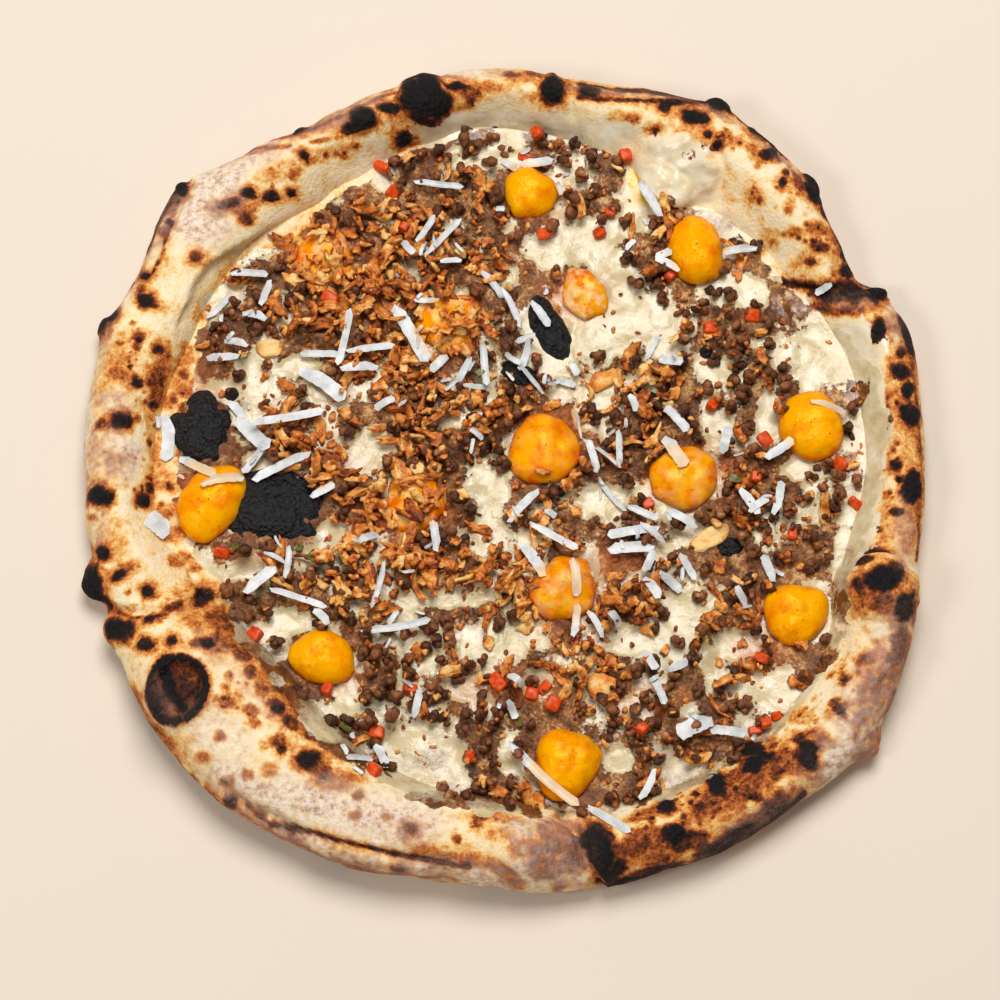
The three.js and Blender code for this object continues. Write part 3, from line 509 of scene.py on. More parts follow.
# Where flour from the bench and ash from the oven's floor cling, pale and mottled.
FLOUR = [
    (215, 188, 46, 22, -38, 0.95), (200, 220, 34, 30, -20, 0.9), (160, 225, 12, 40, 22, 0.7),
    (252, 158, 40, 12, -22, 0.8), (340, 114, 60, 11, -24, 0.7), (120, 300, 12, 30, 35, 0.6),
    (112, 455, 24, 26, 0, 0.9), (112, 400, 20, 12, 0, 0.75), (88, 430, 8, 70, 0, 0.6),
    (125, 462, 14, 22, 0, 0.6), (215, 730, 44, 26, 35, 0.55), (240, 790, 60, 18, 35, 0.8),
    (330, 805, 84, 28, 16, 0.95), (410, 822, 40, 26, 10, 0.9), (300, 850, 130, 20, 20, 0.95),
    (450, 876, 120, 18, 2, 0.95), (555, 856, 44, 40, 0, 1), (530, 830, 26, 16, 0, 0.7),
    (866, 706, 30, 50, 22, 1), (846, 758, 46, 26, -38, 1), (900, 636, 14, 44, 10, 0.8),
    (890, 640, 20, 50, 8, 0.6), (760, 822, 70, 14, -32, 0.75), (700, 866, 60, 9, -20, 0.8),
    (895, 325, 10, 24, -15, 0.8), (850, 300, 30, 10, 0, 0.4), (905, 540, 12, 40, 0, 0.6),
    (470, 74, 50, 6, 2, 0.7), (625, 92, 60, 4, 5, 0.7), (100, 350, 10, 30, 20, 0.5),
    (98, 530, 10, 24, 0, 0.5), (160, 700, 12, 40, -25, 0.5), (780, 160, 40, 4, 42, 0.6),
    (720, 115, 30, 5, 30, 0.5), (220, 660, 40, 16, 35, 0.35), (260, 700, 30, 14, 50, 0.35),
]
FRECKLED = [
    (770, 195, 70, 80, 20, 0.55), (820, 245, 40, 40, 0, 0.8), (640, 118, 90, 20, 5, 0.35),
    (735, 140, 40, 22, 20, 0.9), (270, 180, 50, 26, -30, 0.6), (130, 362, 26, 44, 0, 1.0),
    (150, 480, 34, 100, 0, 0.8), (160, 605, 60, 34, 0, 0.5), (240, 700, 60, 50, 35, 0.6),
    (470, 826, 50, 20, 0, 0.7), (700, 800, 110, 44, -30, 0.8), (190, 400, 40, 50, 0, 0.8),
    (840, 680, 30, 50, 15, 0.6), (896, 430, 20, 120, 0, 0.8), (400, 130, 80, 30, -15, 0.4),
    (340, 150, 40, 14, -10, 0.8), (800, 720, 60, 20, -40, 0.7), (480, 100, 50, 20, 0, 0.4),
]
# Where melted cheese has run onto the dough.
CHEESED = [
    (500, 128, 90, 22, 0, 0.8), (590, 138, 50, 20, 0, 0.7), (676, 172, 40, 40, 0, 0.8),
    (845, 345, 42, 26, 0, 0.9), (862, 420, 24, 90, 0, 0.95), (852, 530, 22, 50, 10, 0.9),
    (720, 225, 40, 24, 20, 0.5), (790, 305, 30, 16, 0, 0.6),
]
# Bare pools of cheese: pixel place and half sizes in pixels.
POOLS = [
    (600, 322, 46, 44), (560, 250, 40, 22), (540, 112, 74, 24), (590, 235, 40, 18), (640, 190, 18, 42),
    (838, 350, 54, 40), (876, 460, 14, 100), (858, 570, 14, 40), (720, 228, 26, 14), (745, 285, 26, 12),
    (425, 762, 42, 42), (370, 450, 25, 24), (490, 490, 24, 24), (490, 540, 24, 18), (500, 640, 56, 22),
    (250, 365, 16, 12), (300, 365, 22, 12), (250, 425, 22, 22), (240, 572, 40, 10), (290, 622, 24, 16),
    (275, 655, 14, 10), (345, 690, 14, 18), (690, 605, 34, 22), (735, 645, 26, 18), (775, 690, 30, 22),
    (845, 560, 14, 32), (620, 760, 14, 18), (680, 772, 38, 12), (465, 690, 20, 12), (610, 270, 24, 22),
    (670, 350, 22, 12), (770, 420, 14, 30), (440, 600, 50, 10), (600, 500, 26, 18), (720, 430, 16, 20),
    (560, 395, 14, 10), (800, 470, 18, 12), (630, 640, 26, 16), (590, 130, 30, 14), (480, 110, 30, 12),
    (640, 320, 30, 22), (330, 395, 26, 12),
]
OILY = [(634, 176, 7, 18), (642, 198, 10, 10), (612, 152, 10, 5), (300, 235, 14, 9), (705, 640, 9, 7)]
ORANGE = [
    (200, 385, 26, 26), (182, 480, 16, 44), (330, 240, 44, 18), (400, 520, 60, 34), (575, 600, 50, 36),
    (695, 475, 46, 34), (560, 440, 44, 34), (440, 330, 44, 34), (575, 300, 34, 30), (250, 560, 26, 10),
    (330, 670, 34, 20), (500, 690, 60, 20), (640, 700, 40, 22), (760, 650, 30, 26), (545, 215, 26, 12),
    (420, 250, 30, 24), (330, 460, 30, 20), (620, 560, 34, 16),
]
# Browned places, and painted shade in the crease where the topping meets the rim, chiefly along its near
# edge: pixel place and half sizes in pixels.
BROWNED_AND_SHADED = [
    (203, 430, 40, 46), (278, 510, 58, 46), (430, 762, 20, 12), (178, 480, 10, 60), (206, 350, 16, 34),
    (250, 640, 14, 20), (270, 668, 30, 16), (300, 700, 26, 16), (345, 752, 26, 12), (440, 800, 60, 9),
    (545, 806, 60, 7), (620, 800, 40, 8), (760, 735, 30, 12), (690, 782, 40, 8), (845, 600, 8, 40),
    (790, 310, 20, 10), (600, 155, 30, 6), (430, 156, 30, 8), (392, 175, 14, 14), (720, 225, 20, 8),
]
# Where the topping ends, round the pizza in pixels, and the middle that it is measured from.
SPREAD_MIDDLE = (520, 480)
SPREAD_EDGE = [
    (372, 180), (380, 165), (400, 158), (430, 150), (480, 128), (505, 124), (560, 124), (590, 142),
    (620, 162), (650, 195), (715, 215), (740, 232), (765, 262), (785, 290), (812, 312), (870, 362),
    (886, 420), (884, 470), (872, 520), (852, 560), (844, 620), (838, 645), (825, 665), (810, 690),
    (790, 715), (770, 735), (745, 745), (700, 785), (650, 800), (600, 812), (545, 812), (480, 812),
    (430, 805), (395, 785), (345, 765), (300, 715), (262, 668), (245, 645), (225, 600), (205, 570),
    (184, 545), (176, 500), (176, 470), (180, 430), (192, 395), (203, 365), (202, 330), (208, 305),
    (232, 280), (247, 258), (267, 247), (292, 234), (312, 216), (342, 197),
]


def painted(pixels, points, patches, ragged, soft_from=1.3, soft_to=0.45):
    """How strongly a list of ovals colours each point, from 0 to 1."""
    clear = np.ones(len(pixels))
    wobble = ragged * fuzz(points, 0.0045, 11) + 0.5 * ragged * fuzz(points, 0.002, 12)
    for x, y, wide, tall, turn, amount in patches:
        share = oval_share(pixels, x, y, wide, tall, turn, wobble)
        clear *= 1 - amount * ramp_between(soft_from, soft_to, share)
    return 1 - clear


# Round every dark spot the dough is golden for a few pixels.
HALO, HALO_PX = 0.44, 7.0


def darkest(pixels, points, patches, ragged, soft_from=1.3, soft_to=0.45):
    """How dark the darkest oval over each point makes it, from 0 to 1."""
    result = np.zeros(len(pixels))
    wobble = ragged * fuzz(points, 0.0045, 11) + 0.6 * ragged * fuzz(points, 0.0018, 12)
    for x, y, wide, tall, turn, amount in patches:
        share = oval_share(pixels, x, y, wide, tall, turn, wobble)
        result = np.maximum(result, amount * ramp_between(soft_from, soft_to, share))
        if amount > 0.6:
            reach = 1 + HALO_PX / min(wide, tall)
            result = np.maximum(result, HALO * amount * ramp_between(reach + 0.3, 1.0, share))
    return result


def dough_fields(pixels, points):
    """How toasted, floury, freckled and cheesed the dough is at each point, with painted shade carried in
    the toast.
    """
    toasted = darkest(pixels, points, TOAST_AND_SHADE, 0.3)
    unevenness = 1 + 0.5 * fuzz(points, 0.004, 16)
    for corners, half_width, amount in SCORCHED_AND_SHADED:
        distance, _ = line_distance(pixels, corners)
        share = distance / (half_width * unevenness)
        toasted = np.maximum(toasted, amount * ramp_between(1.7, 0.5, share))
        toasted = np.maximum(toasted, 0.4 * amount * ramp_between(4.0, 1.0, share))
    floury = painted(pixels, points, FLOUR, 0.25, 1.4, 0.4)
    freckled = painted(pixels, points, FRECKLED, 0.2, 1.3, 0.2)
    cheesed = painted(pixels, points, CHEESED, 0.25, 1.3, 0.6)
    return toasted, floury, freckled, cheesed


def pebbles(points, size, seed):
    """Distance to the nearest of scattered points, in `size` steps, and that point's own number."""
    place = points[:, :2] / size + 97.3 * seed + 300
    cell = np.floor(place).astype(np.int64)
    nearest = np.full(len(points), 9.0)
    number = np.zeros(len(points))
    for step in product((-1, 0, 1), repeat=2):
        key = (cell + step) @ np.array([73856093, 19349663]) + 7 * seed
        key = ((key ^ (key >> 13)) * 1274126177) & 0x7FFFFFFF
        spot = cell + step + np.stack([(key % 997) / 997, (key // 997 % 991) / 991], 1)
        distance = np.linalg.norm(place - spot, axis=1)
        closer = distance < nearest
        nearest[closer] = distance[closer]
        number[closer] = ((key // 7919) % 983 / 983)[closer]
    return nearest, number


def ovals(pixels, points, patches, ragged=0.25):
    """How strongly a list of upright ovals covers each point."""
    return painted(pixels, points, [(x, y, w, t, 0, 1.0) for x, y, w, t in patches], ragged, 1.25, 0.75)


def spread_over(pixels, points):
    """How fully the topping covers each point: 1 inside its ragged edge and 0 outside."""
    corners = np.array(SPREAD_EDGE, float) - SPREAD_MIDDLE
    corner_turn = np.arctan2(corners[:, 1], corners[:, 0])
    away = pixels - SPREAD_MIDDLE
    turn_here = np.arctan2(away[:, 1], away[:, 0])
    reach = np.interp(turn_here, corner_turn, np.linalg.norm(corners, axis=1), period=2 * math.pi)
    reach += 6 * fuzz(points, 0.008, 64) + 5 * fuzz(points, 0.003, 65)
    return ramp_between(5, -5, np.linalg.norm(away, axis=1) - reach)


def surface_fields(pixels, points):
    """Every number that the shared look of dough and topping is painted from, and the meat's relief."""
    toasted, floury, freckled, cheesed = dough_fields(pixels, points)
    covered = spread_over(pixels, points)
    pool = ovals(pixels, points, POOLS, 0.35)
    pool = np.maximum(pool, 0.9 * ramp_between(0.42, 0.64, 0.5 + 0.5 * fuzz(points, 0.009, 61)))
    large, large_tone = pebbles(points, 0.0042, 1)
    small, small_tone = pebbles(points, 0.0026, 2)
    meaty = np.clip(1 - large**2 * 1.4, 0, 1) * 1.7 + np.clip(1 - small**2 * 1.4, 0, 1) * 0.8
    fields = {
        "toast": toasted,
        "flour": floury,
        "freckle": freckled,
        "cheesed": cheesed,
        "covered": covered,
        "cheese": pool,
        "oily": ovals(pixels, points, OILY),
        "orange": painted(pixels, points, [(*o, 0, 0.8) for o in ORANGE], 0.3, 1.5, 0.2),
        "brown_and_shade": painted(pixels, points, [(*o, 0, 0.62) for o in BROWNED_AND_SHADED], 0.5, 1.4, 0.4),
        "tone": large_tone * 0.6 + small_tone * 0.4,
        # Painted shade in the hollows between the meaty lumps, left off the pools.
        "hollow_shade": np.clip(1 - meaty / 1.2, 0, 1) * (1 - pool),
    }
    return fields, meaty


look, meaty = surface_fields(crust_px, flat)
look = {name: seen * values for name, values in look.items()}
toast, flour, freckle = look["toast"], look["flour"], look["freckle"]
flat[:, 2] += 0.0004 * free * look["covered"] * (1 - look["cheese"]) * meaty
# Inside the burst blister the crumb is scorched black at the lip and dark brown on its floor.
share = oval_share(crust_px, *BURST, 0, 0.06 * fuzz(flat, 0.006, 7) + 0.05 * fuzz(flat, 0.0015, 8))
slit, _ = line_distance(crust_px, [(163, 668), (170, 690), (182, 706)])
toast = np.maximum(toast, seen * ramp_between(1.12, 0.98, share))
toast = np.maximum(toast, 0.5 * seen * ramp_between(1.3, 1.0, share))
hollow_floor = seen * ramp_between(0.92, 0.8, share) * ramp_between(3.0, 7.0, slit)
toast -= 0.33 * hollow_floor

# What the photograph doesn't show, the far outer wall and the underside, is baked like the rest.
HIDDEN_SPOTS = 150
RIM_REACH = 0.152
random = np.random.default_rng(5)
hidden = 1 - seen
for _ in range(HIDDEN_SPOTS):
    turn = random.uniform(0, 2 * math.pi)
    height = random.uniform(0.003, 0.018)
    around = np.array([RIM_REACH * math.cos(turn), RIM_REACH * math.sin(turn), height])
    distance = np.linalg.norm((flat - around) * (1, 1, 1.3), axis=1) / random.uniform(0.002, 0.007)
    toast = np.maximum(toast, hidden * random.uniform(0.5, 1) * ramp_between(1.3, 0.4, distance))
base_mottle = fuzz(flat, 0.016, 13) + 0.6 * fuzz(flat, 0.006, 14)
toast = np.maximum(toast, hidden * (0.3 + 0.2 * base_mottle))
flour = np.maximum(flour, hidden * np.clip(0.5 + 0.5 * fuzz(flat, 0.012, 15), 0, 1))
freckle = np.maximum(freckle, 0.6 * hidden)
look.update(toast=np.clip(toast, 0, 1), flour=flour, freckle=freckle)


def tint(red, green, blue):
    """A colour for a shader from the screen values 0 to 255."""
    values = [c / 255 for c in (red, green, blue)]
    return tuple(c / 12.92 if c < 0.04045 else ((c + 0.055) / 1.055) ** 2.4 for c in values) + (1.0,)


def fill(tree, socket, value):
    """Gives an input a number, a colour or another node's socket."""
    if isinstance(value, bpy.types.NodeSocket):
        tree.links.new(value, socket)
    else:
        socket.default_value = value


def node_in(tree, kind, inputs=None, **settings):
    """A new shader node with its inputs filled."""
    node = tree.nodes.new(kind)
    for key, value in settings.items():
        setattr(node, key, value)
    for key, value in (inputs or {}).items():
        fill(tree, node.inputs[key], value)
    return node


def coat(tree, **parts):
    """Fills the inputs of a material's shader, named with _ for a space."""
    for key, value in parts.items():
        fill(tree, tree.nodes["Principled BSDF"].inputs[key.replace("_", " ")], value)


def finish_named(name, **parts):
    """A new node material: itself, its tree and the object's own coordinates."""
    material = bpy.data.materials.new(name)
    material.use_nodes = True
    tree = material.node_tree
    coat(tree, **parts)
    return material, tree, node_in(tree, "ShaderNodeTexCoord").outputs["Object"]


def noise_in(tree, place, size, detail=3.0, roughness=0.55):
    """Cloudy noise from 0 to 1 whose features are about `size` metres across."""
    inputs = {"Vector": place, "Scale": 1 / size, "Detail": detail, "Roughness": roughness}
    return node_in(tree, "ShaderNodeTexNoise", inputs).outputs["Fac"]


def cells_in(tree, place, size):
    """How far each place is from the middle of its cell, for cells about `size` metres across."""
    inputs = {"Vector": place, "Scale": 1 / size}
    return node_in(tree, "ShaderNodeTexVoronoi", inputs).outputs["Distance"]


def band_in(tree, value, low, high, to_low=0.0, to_high=1.0):
    """A value stretched from low..high to to_low..to_high, and held there."""
    inputs = {"Value": value, "From Min": low, "From Max": high, "To Min": to_low, "To Max": to_high}
    return node_in(tree, "ShaderNodeMapRange", inputs).outputs["Result"]


def sum_in(tree, operation, first, second, clamp=False):
    """One step of arithmetic on two values."""
    node = node_in(tree, "ShaderNodeMath", {0: first, 1: second}, operation=operation, use_clamp=clamp)
    return node.outputs[0]


def mix_in(tree, share, first, second):
    """Two colours mixed by a share from 0 to 1."""
    node = node_in(tree, "ShaderNodeMix", data_type="RGBA")
    for key, value in {"Factor": share, "A": first, "B": second}.items():
        sockets = [s for s in node.inputs if s.name == key]
        fill(tree, next(s for s in sockets if key == "Factor" or s.type == "RGBA"), value)
    return next(s for s in node.outputs if s.type == "RGBA")


def colours_in(tree, value, stops):
    """A colour from a value, through stops of (value, colour)."""
    ramp = node_in(tree, "ShaderNodeValToRGB", {"Fac": value})
    points = ramp.color_ramp.elements
    while len(points) < len(stops):
        points.new(0.5)
    for point, (position, colour) in zip(points, stops):
        point.position = position
        point.color = colour
    return ramp.outputs["Color"]


def field_in(tree, name):
    """A number that the mesh carries at each point."""
    return node_in(tree, "ShaderNodeAttribute", attribute_name=name).outputs["Fac"]


def bump_in(tree, height, distance, strength=1.0, under=None):
    """A bump of the given depth in metres, over another if there is one."""
    inputs = {"Height": height, "Distance": distance, "Strength": strength}
    if under is not None:
        inputs["Normal"] = under
    return node_in(tree, "ShaderNodeBump", inputs).outputs["Normal"]


BAKED_AND_SHADED = [
    (0.0, tint(250, 230, 192)), (0.16, tint(247, 216, 160)), (0.3, tint(236, 180, 100)),
    (0.45, tint(206, 118, 46)), (0.6, tint(144, 68, 26)), (0.74, tint(82, 40, 21)),
    (0.88, tint(38, 24, 20)), (1.0, tint(18, 16, 17)),
]
POWDER = [
    (0.36, tint(136, 95, 76)), (0.46, tint(200, 160, 140)), (0.55, tint(238, 215, 203)),
    (0.68, tint(248, 237, 229)),
]
MEAT = [
    (0.0, tint(62, 34, 16)), (0.35, tint(110, 66, 32)), (0.7, tint(156, 100, 52)),
    (1.0, tint(208, 166, 110)),
]
MELTED = [
    (0.3, tint(198, 176, 128)), (0.46, tint(213, 194, 150)), (0.58, tint(222, 205, 168)),
    (0.72, tint(233, 222, 196)),
]


def baked_surface(name):
    """The look of dough and topping alike, told apart by the numbers that the mesh carries."""
    material, tree, place = finish_named(name, Specular_IOR_Level=0.3)
    fine, middling, broad = (noise_in(tree, place, size, 4.0) for size in (0.0011, 0.003, 0.011))

    # Dough, from cream through golden and brown to black, with leopard spots of two sizes; the toast also
    # darkens it with painted shade on walls that lie in shade.
    baked_and_shaded = field_in(tree, "toast")
    baked_and_shaded = sum_in(tree, "ADD", baked_and_shaded, band_in(tree, middling, 0.32, 0.68, -0.1, 0.1))
    baked_and_shaded = sum_in(tree, "ADD", baked_and_shaded, band_in(tree, fine, 0.32, 0.68, -0.09, 0.09))
    baked_and_shaded = sum_in(tree, "ADD", baked_and_shaded, band_in(tree, broad, 0.42, 0.7, 0.0, 0.18))
    for spacing, rarest, strength in ((0.0052, 0.45, 0.5), (0.0026, 0.5, 0.34)):
        cells = node_in(tree, "ShaderNodeTexVoronoi", {"Vector": place, "Scale": 1 / spacing})
        parted = node_in(tree, "ShaderNodeSeparateColor", {"Color": cells.outputs["Color"]})
        spot_size = band_in(tree, parted.outputs["Red"], rarest, 1.0, 0.0, 0.5)
        spotted = sum_in(tree, "SUBTRACT", spot_size, cells.outputs["Distance"])
        spotted = band_in(tree, spotted, -0.12, 0.2, 0.0, strength)
        spotted = sum_in(tree, "MULTIPLY", spotted, field_in(tree, "freckle"))
        baked_and_shaded = sum_in(tree, "ADD", baked_and_shaded, spotted, clamp=True)
    colour = colours_in(tree, baked_and_shaded, BAKED_AND_SHADED)
    dust = sum_in(tree, "MULTIPLY", field_in(tree, "flour"), band_in(tree, middling, 0.34, 0.58, 0.3, 1.0))
    dust = sum_in(tree, "MULTIPLY", dust, band_in(tree, baked_and_shaded, 0.62, 0.95, 0.9, 0.12))
    bench = noise_in(tree, place, 0.0022, 6.0, 0.78)
    powder_and_shade = colours_in(tree, bench, POWDER)
    # Flour over toasted dough is darker; this also carries the painted shade of the lower outer walls
    # through the flour.
    powder_and_shade = mix_in(tree, band_in(tree, baked_and_shaded, 0.2, 0.55, 0.0, 0.75), powder_and_shade, tint(142, 100, 78))
    colour = mix_in(tree, dust, colour, powder_and_shade)

    # The topping: meaty ground with painted shade in its hollows, melted cheese in pools, fat, and
    # browned places, some of them painted shade where the rim meets the topping.
    cloud = noise_in(tree, place, 0.007, 4.0)
    tone = sum_in(tree, "ADD", field_in(tree, "tone"), band_in(tree, fine, 0.3, 0.7, -0.3, 0.3), clamp=True)
    # The meat is darkened with painted shade in its hollows.
    meat = mix_in(tree, field_in(tree, "hollow_shade"), colours_in(tree, tone, MEAT), tint(92, 60, 38))
    milky = mix_in(tree, field_in(tree, "oily"), colours_in(tree, cloud, MELTED), tint(234, 192, 76))
    milky = mix_in(tree, band_in(tree, fine, 0.6, 0.74, 0.0, 0.55), milky, tint(186, 156, 112))
    pooled = sum_in(tree, "ADD", field_in(tree, "cheese"), band_in(tree, fine, 0.3, 0.7, -0.22, 0.22))
    pooled = sum_in(tree, "ADD", pooled, band_in(tree, middling, 0.3, 0.7, -0.3, 0.3))
    topped = mix_in(tree, band_in(tree, pooled, 0.34, 0.62), meat, milky)
    warm = sum_in(tree, "MULTIPLY", field_in(tree, "orange"), band_in(tree, cloud, 0.35, 0.6, 0.3, 1.0))
    topped = mix_in(tree, sum_in(tree, "MULTIPLY", warm, 0.66), topped, tint(198, 94, 30))
    # Browned places and painted crease shade, broken up by the fine noise.
    scorched_and_shaded = sum_in(tree, "MULTIPLY", field_in(tree, "brown_and_shade"), band_in(tree, fine, 0.3, 0.6, 0.35, 1.0))
    topped = mix_in(tree, scorched_and_shaded, topped, tint(112, 58, 28))

    run = sum_in(tree, "MULTIPLY", field_in(tree, "cheesed"), band_in(tree, baked_and_shaded, 0.5, 0.75, 1.0, 0.0))
    run = band_in(tree, run, 0.35, 0.65)
    molten = colours_in(tree, cloud, [(0.35, tint(230, 207, 162)), (0.6, tint(241, 228, 198))])
    colour = mix_in(tree, run, colour, molten)
    ragged_edge = band_in(tree, middling, 0.35, 0.65, -0.25, 0.25)
    covered = sum_in(tree, "ADD", field_in(tree, "covered"), ragged_edge)
    covered = band_in(tree, covered, 0.4, 0.6)
    glossy = sum_in(tree, "MULTIPLY", covered, band_in(tree, pooled, 0.34, 0.62))
    glossy = sum_in(tree, "MAXIMUM", glossy, run)
    dry = band_in(tree, baked_and_shaded, 0.2, 0.9, 0.62, 0.86)
    dry = band_in(tree, covered, 0.0, 1.0, dry, 0.42)
    crackle = sum_in(tree, "MULTIPLY", cells_in(tree, place, 0.0019), band_in(tree, baked_and_shaded, 0.6, 0.95))
    normal = bump_in(tree, middling, 0.0008, band_in(tree, glossy, 0.0, 1.0, 0.6, 0.4))
    normal = bump_in(tree, fine, 0.0005, band_in(tree, glossy, 0.0, 1.0, 0.75, 0.1), normal)
    coat(
        tree,
        Base_Color=mix_in(tree, covered, colour, topped),
        Roughness=band_in(tree, glossy, 0.0, 1.0, dry, 0.2),
        Specular_IOR_Level=band_in(tree, glossy, 0.0, 1.0, 0.25, 0.42),
        Normal=bump_in(tree, crackle, 0.0011, 0.9, normal),
    )
    return material


dough = baked_surface("baked_dough")
crust = piece_from("crust_skin", flat, ring_faces(len(section), SAMPLES_ROUND), dough, look)
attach(crust, "root")
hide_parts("crust")

# ---- The charred bubbles ----
# Where the floor of the dough puffed up through the topping in the oven it burnt to charcoal: low,
# cracked black domes, part of the same baked piece and standing out of the cheese.
# Each: pixel place, half sizes in pixels, turn, and the height of its top in mm.
CHAR_BUBBLES = [
    (203, 430, 33, 38, 8, 12.0), (272, 508, 60, 41, 8, 12.0), (549, 330, 18, 40, -28, 11.6),
    (521, 377, 26, 14, 20, 10.8), (649, 405, 24, 13, 48, 10.8), (731, 549, 17, 11, -20, 10.6),
    (326, 328, 13, 13, 0, 11.0), (471, 262, 12, 9, 20, 10.6), (706, 353, 8, 8, 0, 11.0),
    (638, 541, 12, 9, 0, 10.4), (232, 395, 9, 8, 0, 9.6), (246, 538, 12, 8, 30, 9.8),
]
BUBBLE_FOOT = 0.0066
BUBBLE_COLUMNS, BUBBLE_ROWS = 72, 26
RAGGED, FIRST_SEED = 0.13, 44


def place_at(x, y, height):
    """Where the ray through a pixel meets a height, in metres."""
    ray = pixel_ray(x, y)
    return np.array(eye + ray * ((height - eye.z) / ray.z))


def domed(x, y, wide, tall, turn, top, ragged, seed):
    """A closed dome over an oval of pixels: its points, row by row from the top."""
    middle_at = place_at(x, y, BUBBLE_FOOT)
    angle = np.arange(BUBBLE_COLUMNS) * 2 * math.pi / BUBBLE_COLUMNS
    lean = math.radians(turn)
    across = wide * np.cos(angle)[:, None] * (math.cos(lean), math.sin(lean))
    along = tall * np.sin(angle)[:, None] * (-math.sin(lean), math.cos(lean))
    round_it = [place_at(x + dx, y + dy, BUBBLE_FOOT) for dx, dy in across + along]
    edge = np.array(round_it) - middle_at
    edge *= (1 + ragged * fuzz(edge + middle_at, 0.006, seed))[:, None]
    share = np.sin(np.linspace(0, math.pi / 2, BUBBLE_ROWS))
    grid = middle_at + share[:, None, None] * edge[None]
    rise = np.clip(1 - share**2.6, 0, 1)[:, None] ** 0.7
    grid[:, :, 2] = BUBBLE_FOOT + (top - BUBBLE_FOOT) * rise
    closing = grid[:1] * (1, 1, 0) + (0, 0, BUBBLE_FOOT - MM)
    return np.concatenate([grid, closing])


faces_of_bubble = ring_faces(BUBBLE_ROWS + 1, BUBBLE_COLUMNS)
bubble_points, bubble_faces = [], []
for k, (x, y, wide, tall, turn, top) in enumerate(CHAR_BUBBLES):
    grid = domed(x, y, wide, tall, turn, top / 1000, RAGGED, FIRST_SEED + k)
    rough = grid[:BUBBLE_ROWS].reshape(-1, 3)
    lumps = 0.7 * fuzz(rough, 0.0042, 50) + 0.5 * fuzz(rough, 0.002, 51)
    lumps += 0.25 * fuzz(rough, 0.001, 52)
    rough[:, 2] += MM * lumps * ramp_between(BUBBLE_FOOT, BUBBLE_FOOT + 0.002, rough[:, 2])
    grid[:BUBBLE_ROWS] = rough.reshape(BUBBLE_ROWS, BUBBLE_COLUMNS, 3)
    bubble_faces.append(faces_of_bubble + sum(len(p) for p in bubble_points))
    bubble_points.append(grid.reshape(-1, 3))

charcoal, tree, place = finish_named("charcoal", Specular_IOR_Level=0.4)
ash = noise_in(tree, place, 0.0011, 5.0, 0.65)
ASHEN = [(0.35, tint(8, 7, 9)), (0.6, tint(18, 17, 20)), (0.78, tint(70, 70, 78))]
cracked = bump_in(tree, cells_in(tree, place, 0.0016), 0.0011, 0.8)
coat(
    tree,
    Base_Color=colours_in(tree, ash, ASHEN),
    Roughness=band_in(tree, ash, 0.4, 0.7, 0.28, 0.7),
    Normal=bump_in(tree, ash, 0.0008, 0.9, cracked),
)
all_bubble_points, all_bubble_faces = np.concatenate(bubble_points), np.concatenate(bubble_faces)
bubbles = piece_from("charred_bubbles", all_bubble_points, all_bubble_faces, charcoal)
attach(bubbles, "root")

# ---- The topping bed ----
# Melted cheese with pork ragu in it, spread by spoon and baked: smooth glossy pools of cheese with
# rough meaty ground between them, painted shade in its hollows, browned edges with painted shade
# where the rim meets them, and orange stains from the ragu's fat.
BED_TOP = 0.0076
BED_COLUMNS, BED_ROWS = 600, 108
UNDERSIDE = 0.0033

CLIMB = 0.0008
EDGE_OVERLAP = 0.0012

slope = section[len(FLOOR_SHARES) : first_outer]
slope_height = slope[:, :, 2]
slope_radius = np.linalg.norm(slope[:, :, :2], axis=2)
bed_turns = np.arange(BED_COLUMNS) * 2 * math.pi / BED_COLUMNS
circle = np.stack([np.cos(bed_turns), np.sin(bed_turns), 0 * bed_turns], 1)
climb = BED_TOP + CLIMB * (1 + 0.7 * fuzz(circle, 0.08, 60))
sample = (np.arange(BED_COLUMNS) * SAMPLES_ROUND / BED_COLUMNS).astype(int)
low_steps = [int(np.argmax(slope_height[::-1, s] < h)) for s, h in zip(sample, climb)]
edge_radius = slope_radius[len(slope_height) - 1 - np.array(low_steps), sample]
edge_radius = smoothed(edge_radius, 4, 0, True) + EDGE_OVERLAP
outward_share = np.linspace(0, 1, BED_ROWS) ** 0.8
bed = np.zeros((BED_ROWS, BED_COLUMNS, 3))
bed[:, :, 0] = outward_share[:, None] * edge_radius * np.cos(bed_turns)
bed[:, :, 1] = outward_share[:, None] * edge_radius * np.sin(bed_turns)
bed[:, :, 2] = BED_TOP
flat_bed = bed.reshape(-1, 3)
bed_look, meaty = surface_fields(pixels_of(flat_bed), flat_bed)
cheese = bed_look["cheese"]
smooth_cheese = 0.9 * fuzz(flat_bed, 0.012, 62) + 0.25 * fuzz(flat_bed, 0.004, 63) + 0.5
bed_relief = bed_look["covered"] * ((1 - cheese) * meaty + cheese * smooth_cheese)
outward = np.repeat(outward_share, BED_COLUMNS)
inward_fade = 1 - ramp_between(0.9, 1.0, outward)
flat_bed[:, 2] += MM * bed_relief * (0.15 + 0.85 * inward_fade)
flat_bed[:, 2] += np.tile(climb - BED_TOP, BED_ROWS) * ramp_between(0.93, 1.0, outward)
sides = [bed[-1] * (1, 1, 0) + (0, 0, UNDERSIDE), np.tile((0.0, 0.0, UNDERSIDE), (BED_COLUMNS, 1))]
none = np.zeros(2 * BED_COLUMNS)
bed_look = {name: np.concatenate([values, none]) for name, values in bed_look.items()}
melt = baked_surface("cheese_and_ragu")
bed_points, bed_faces = np.concatenate([flat_bed] + sides), ring_faces(BED_ROWS + 2, BED_COLUMNS)
topping = piece_from("cheese_and_ragu", bed_points, bed_faces, melt, bed_look)
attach(topping, "root")
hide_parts("topping_bed")

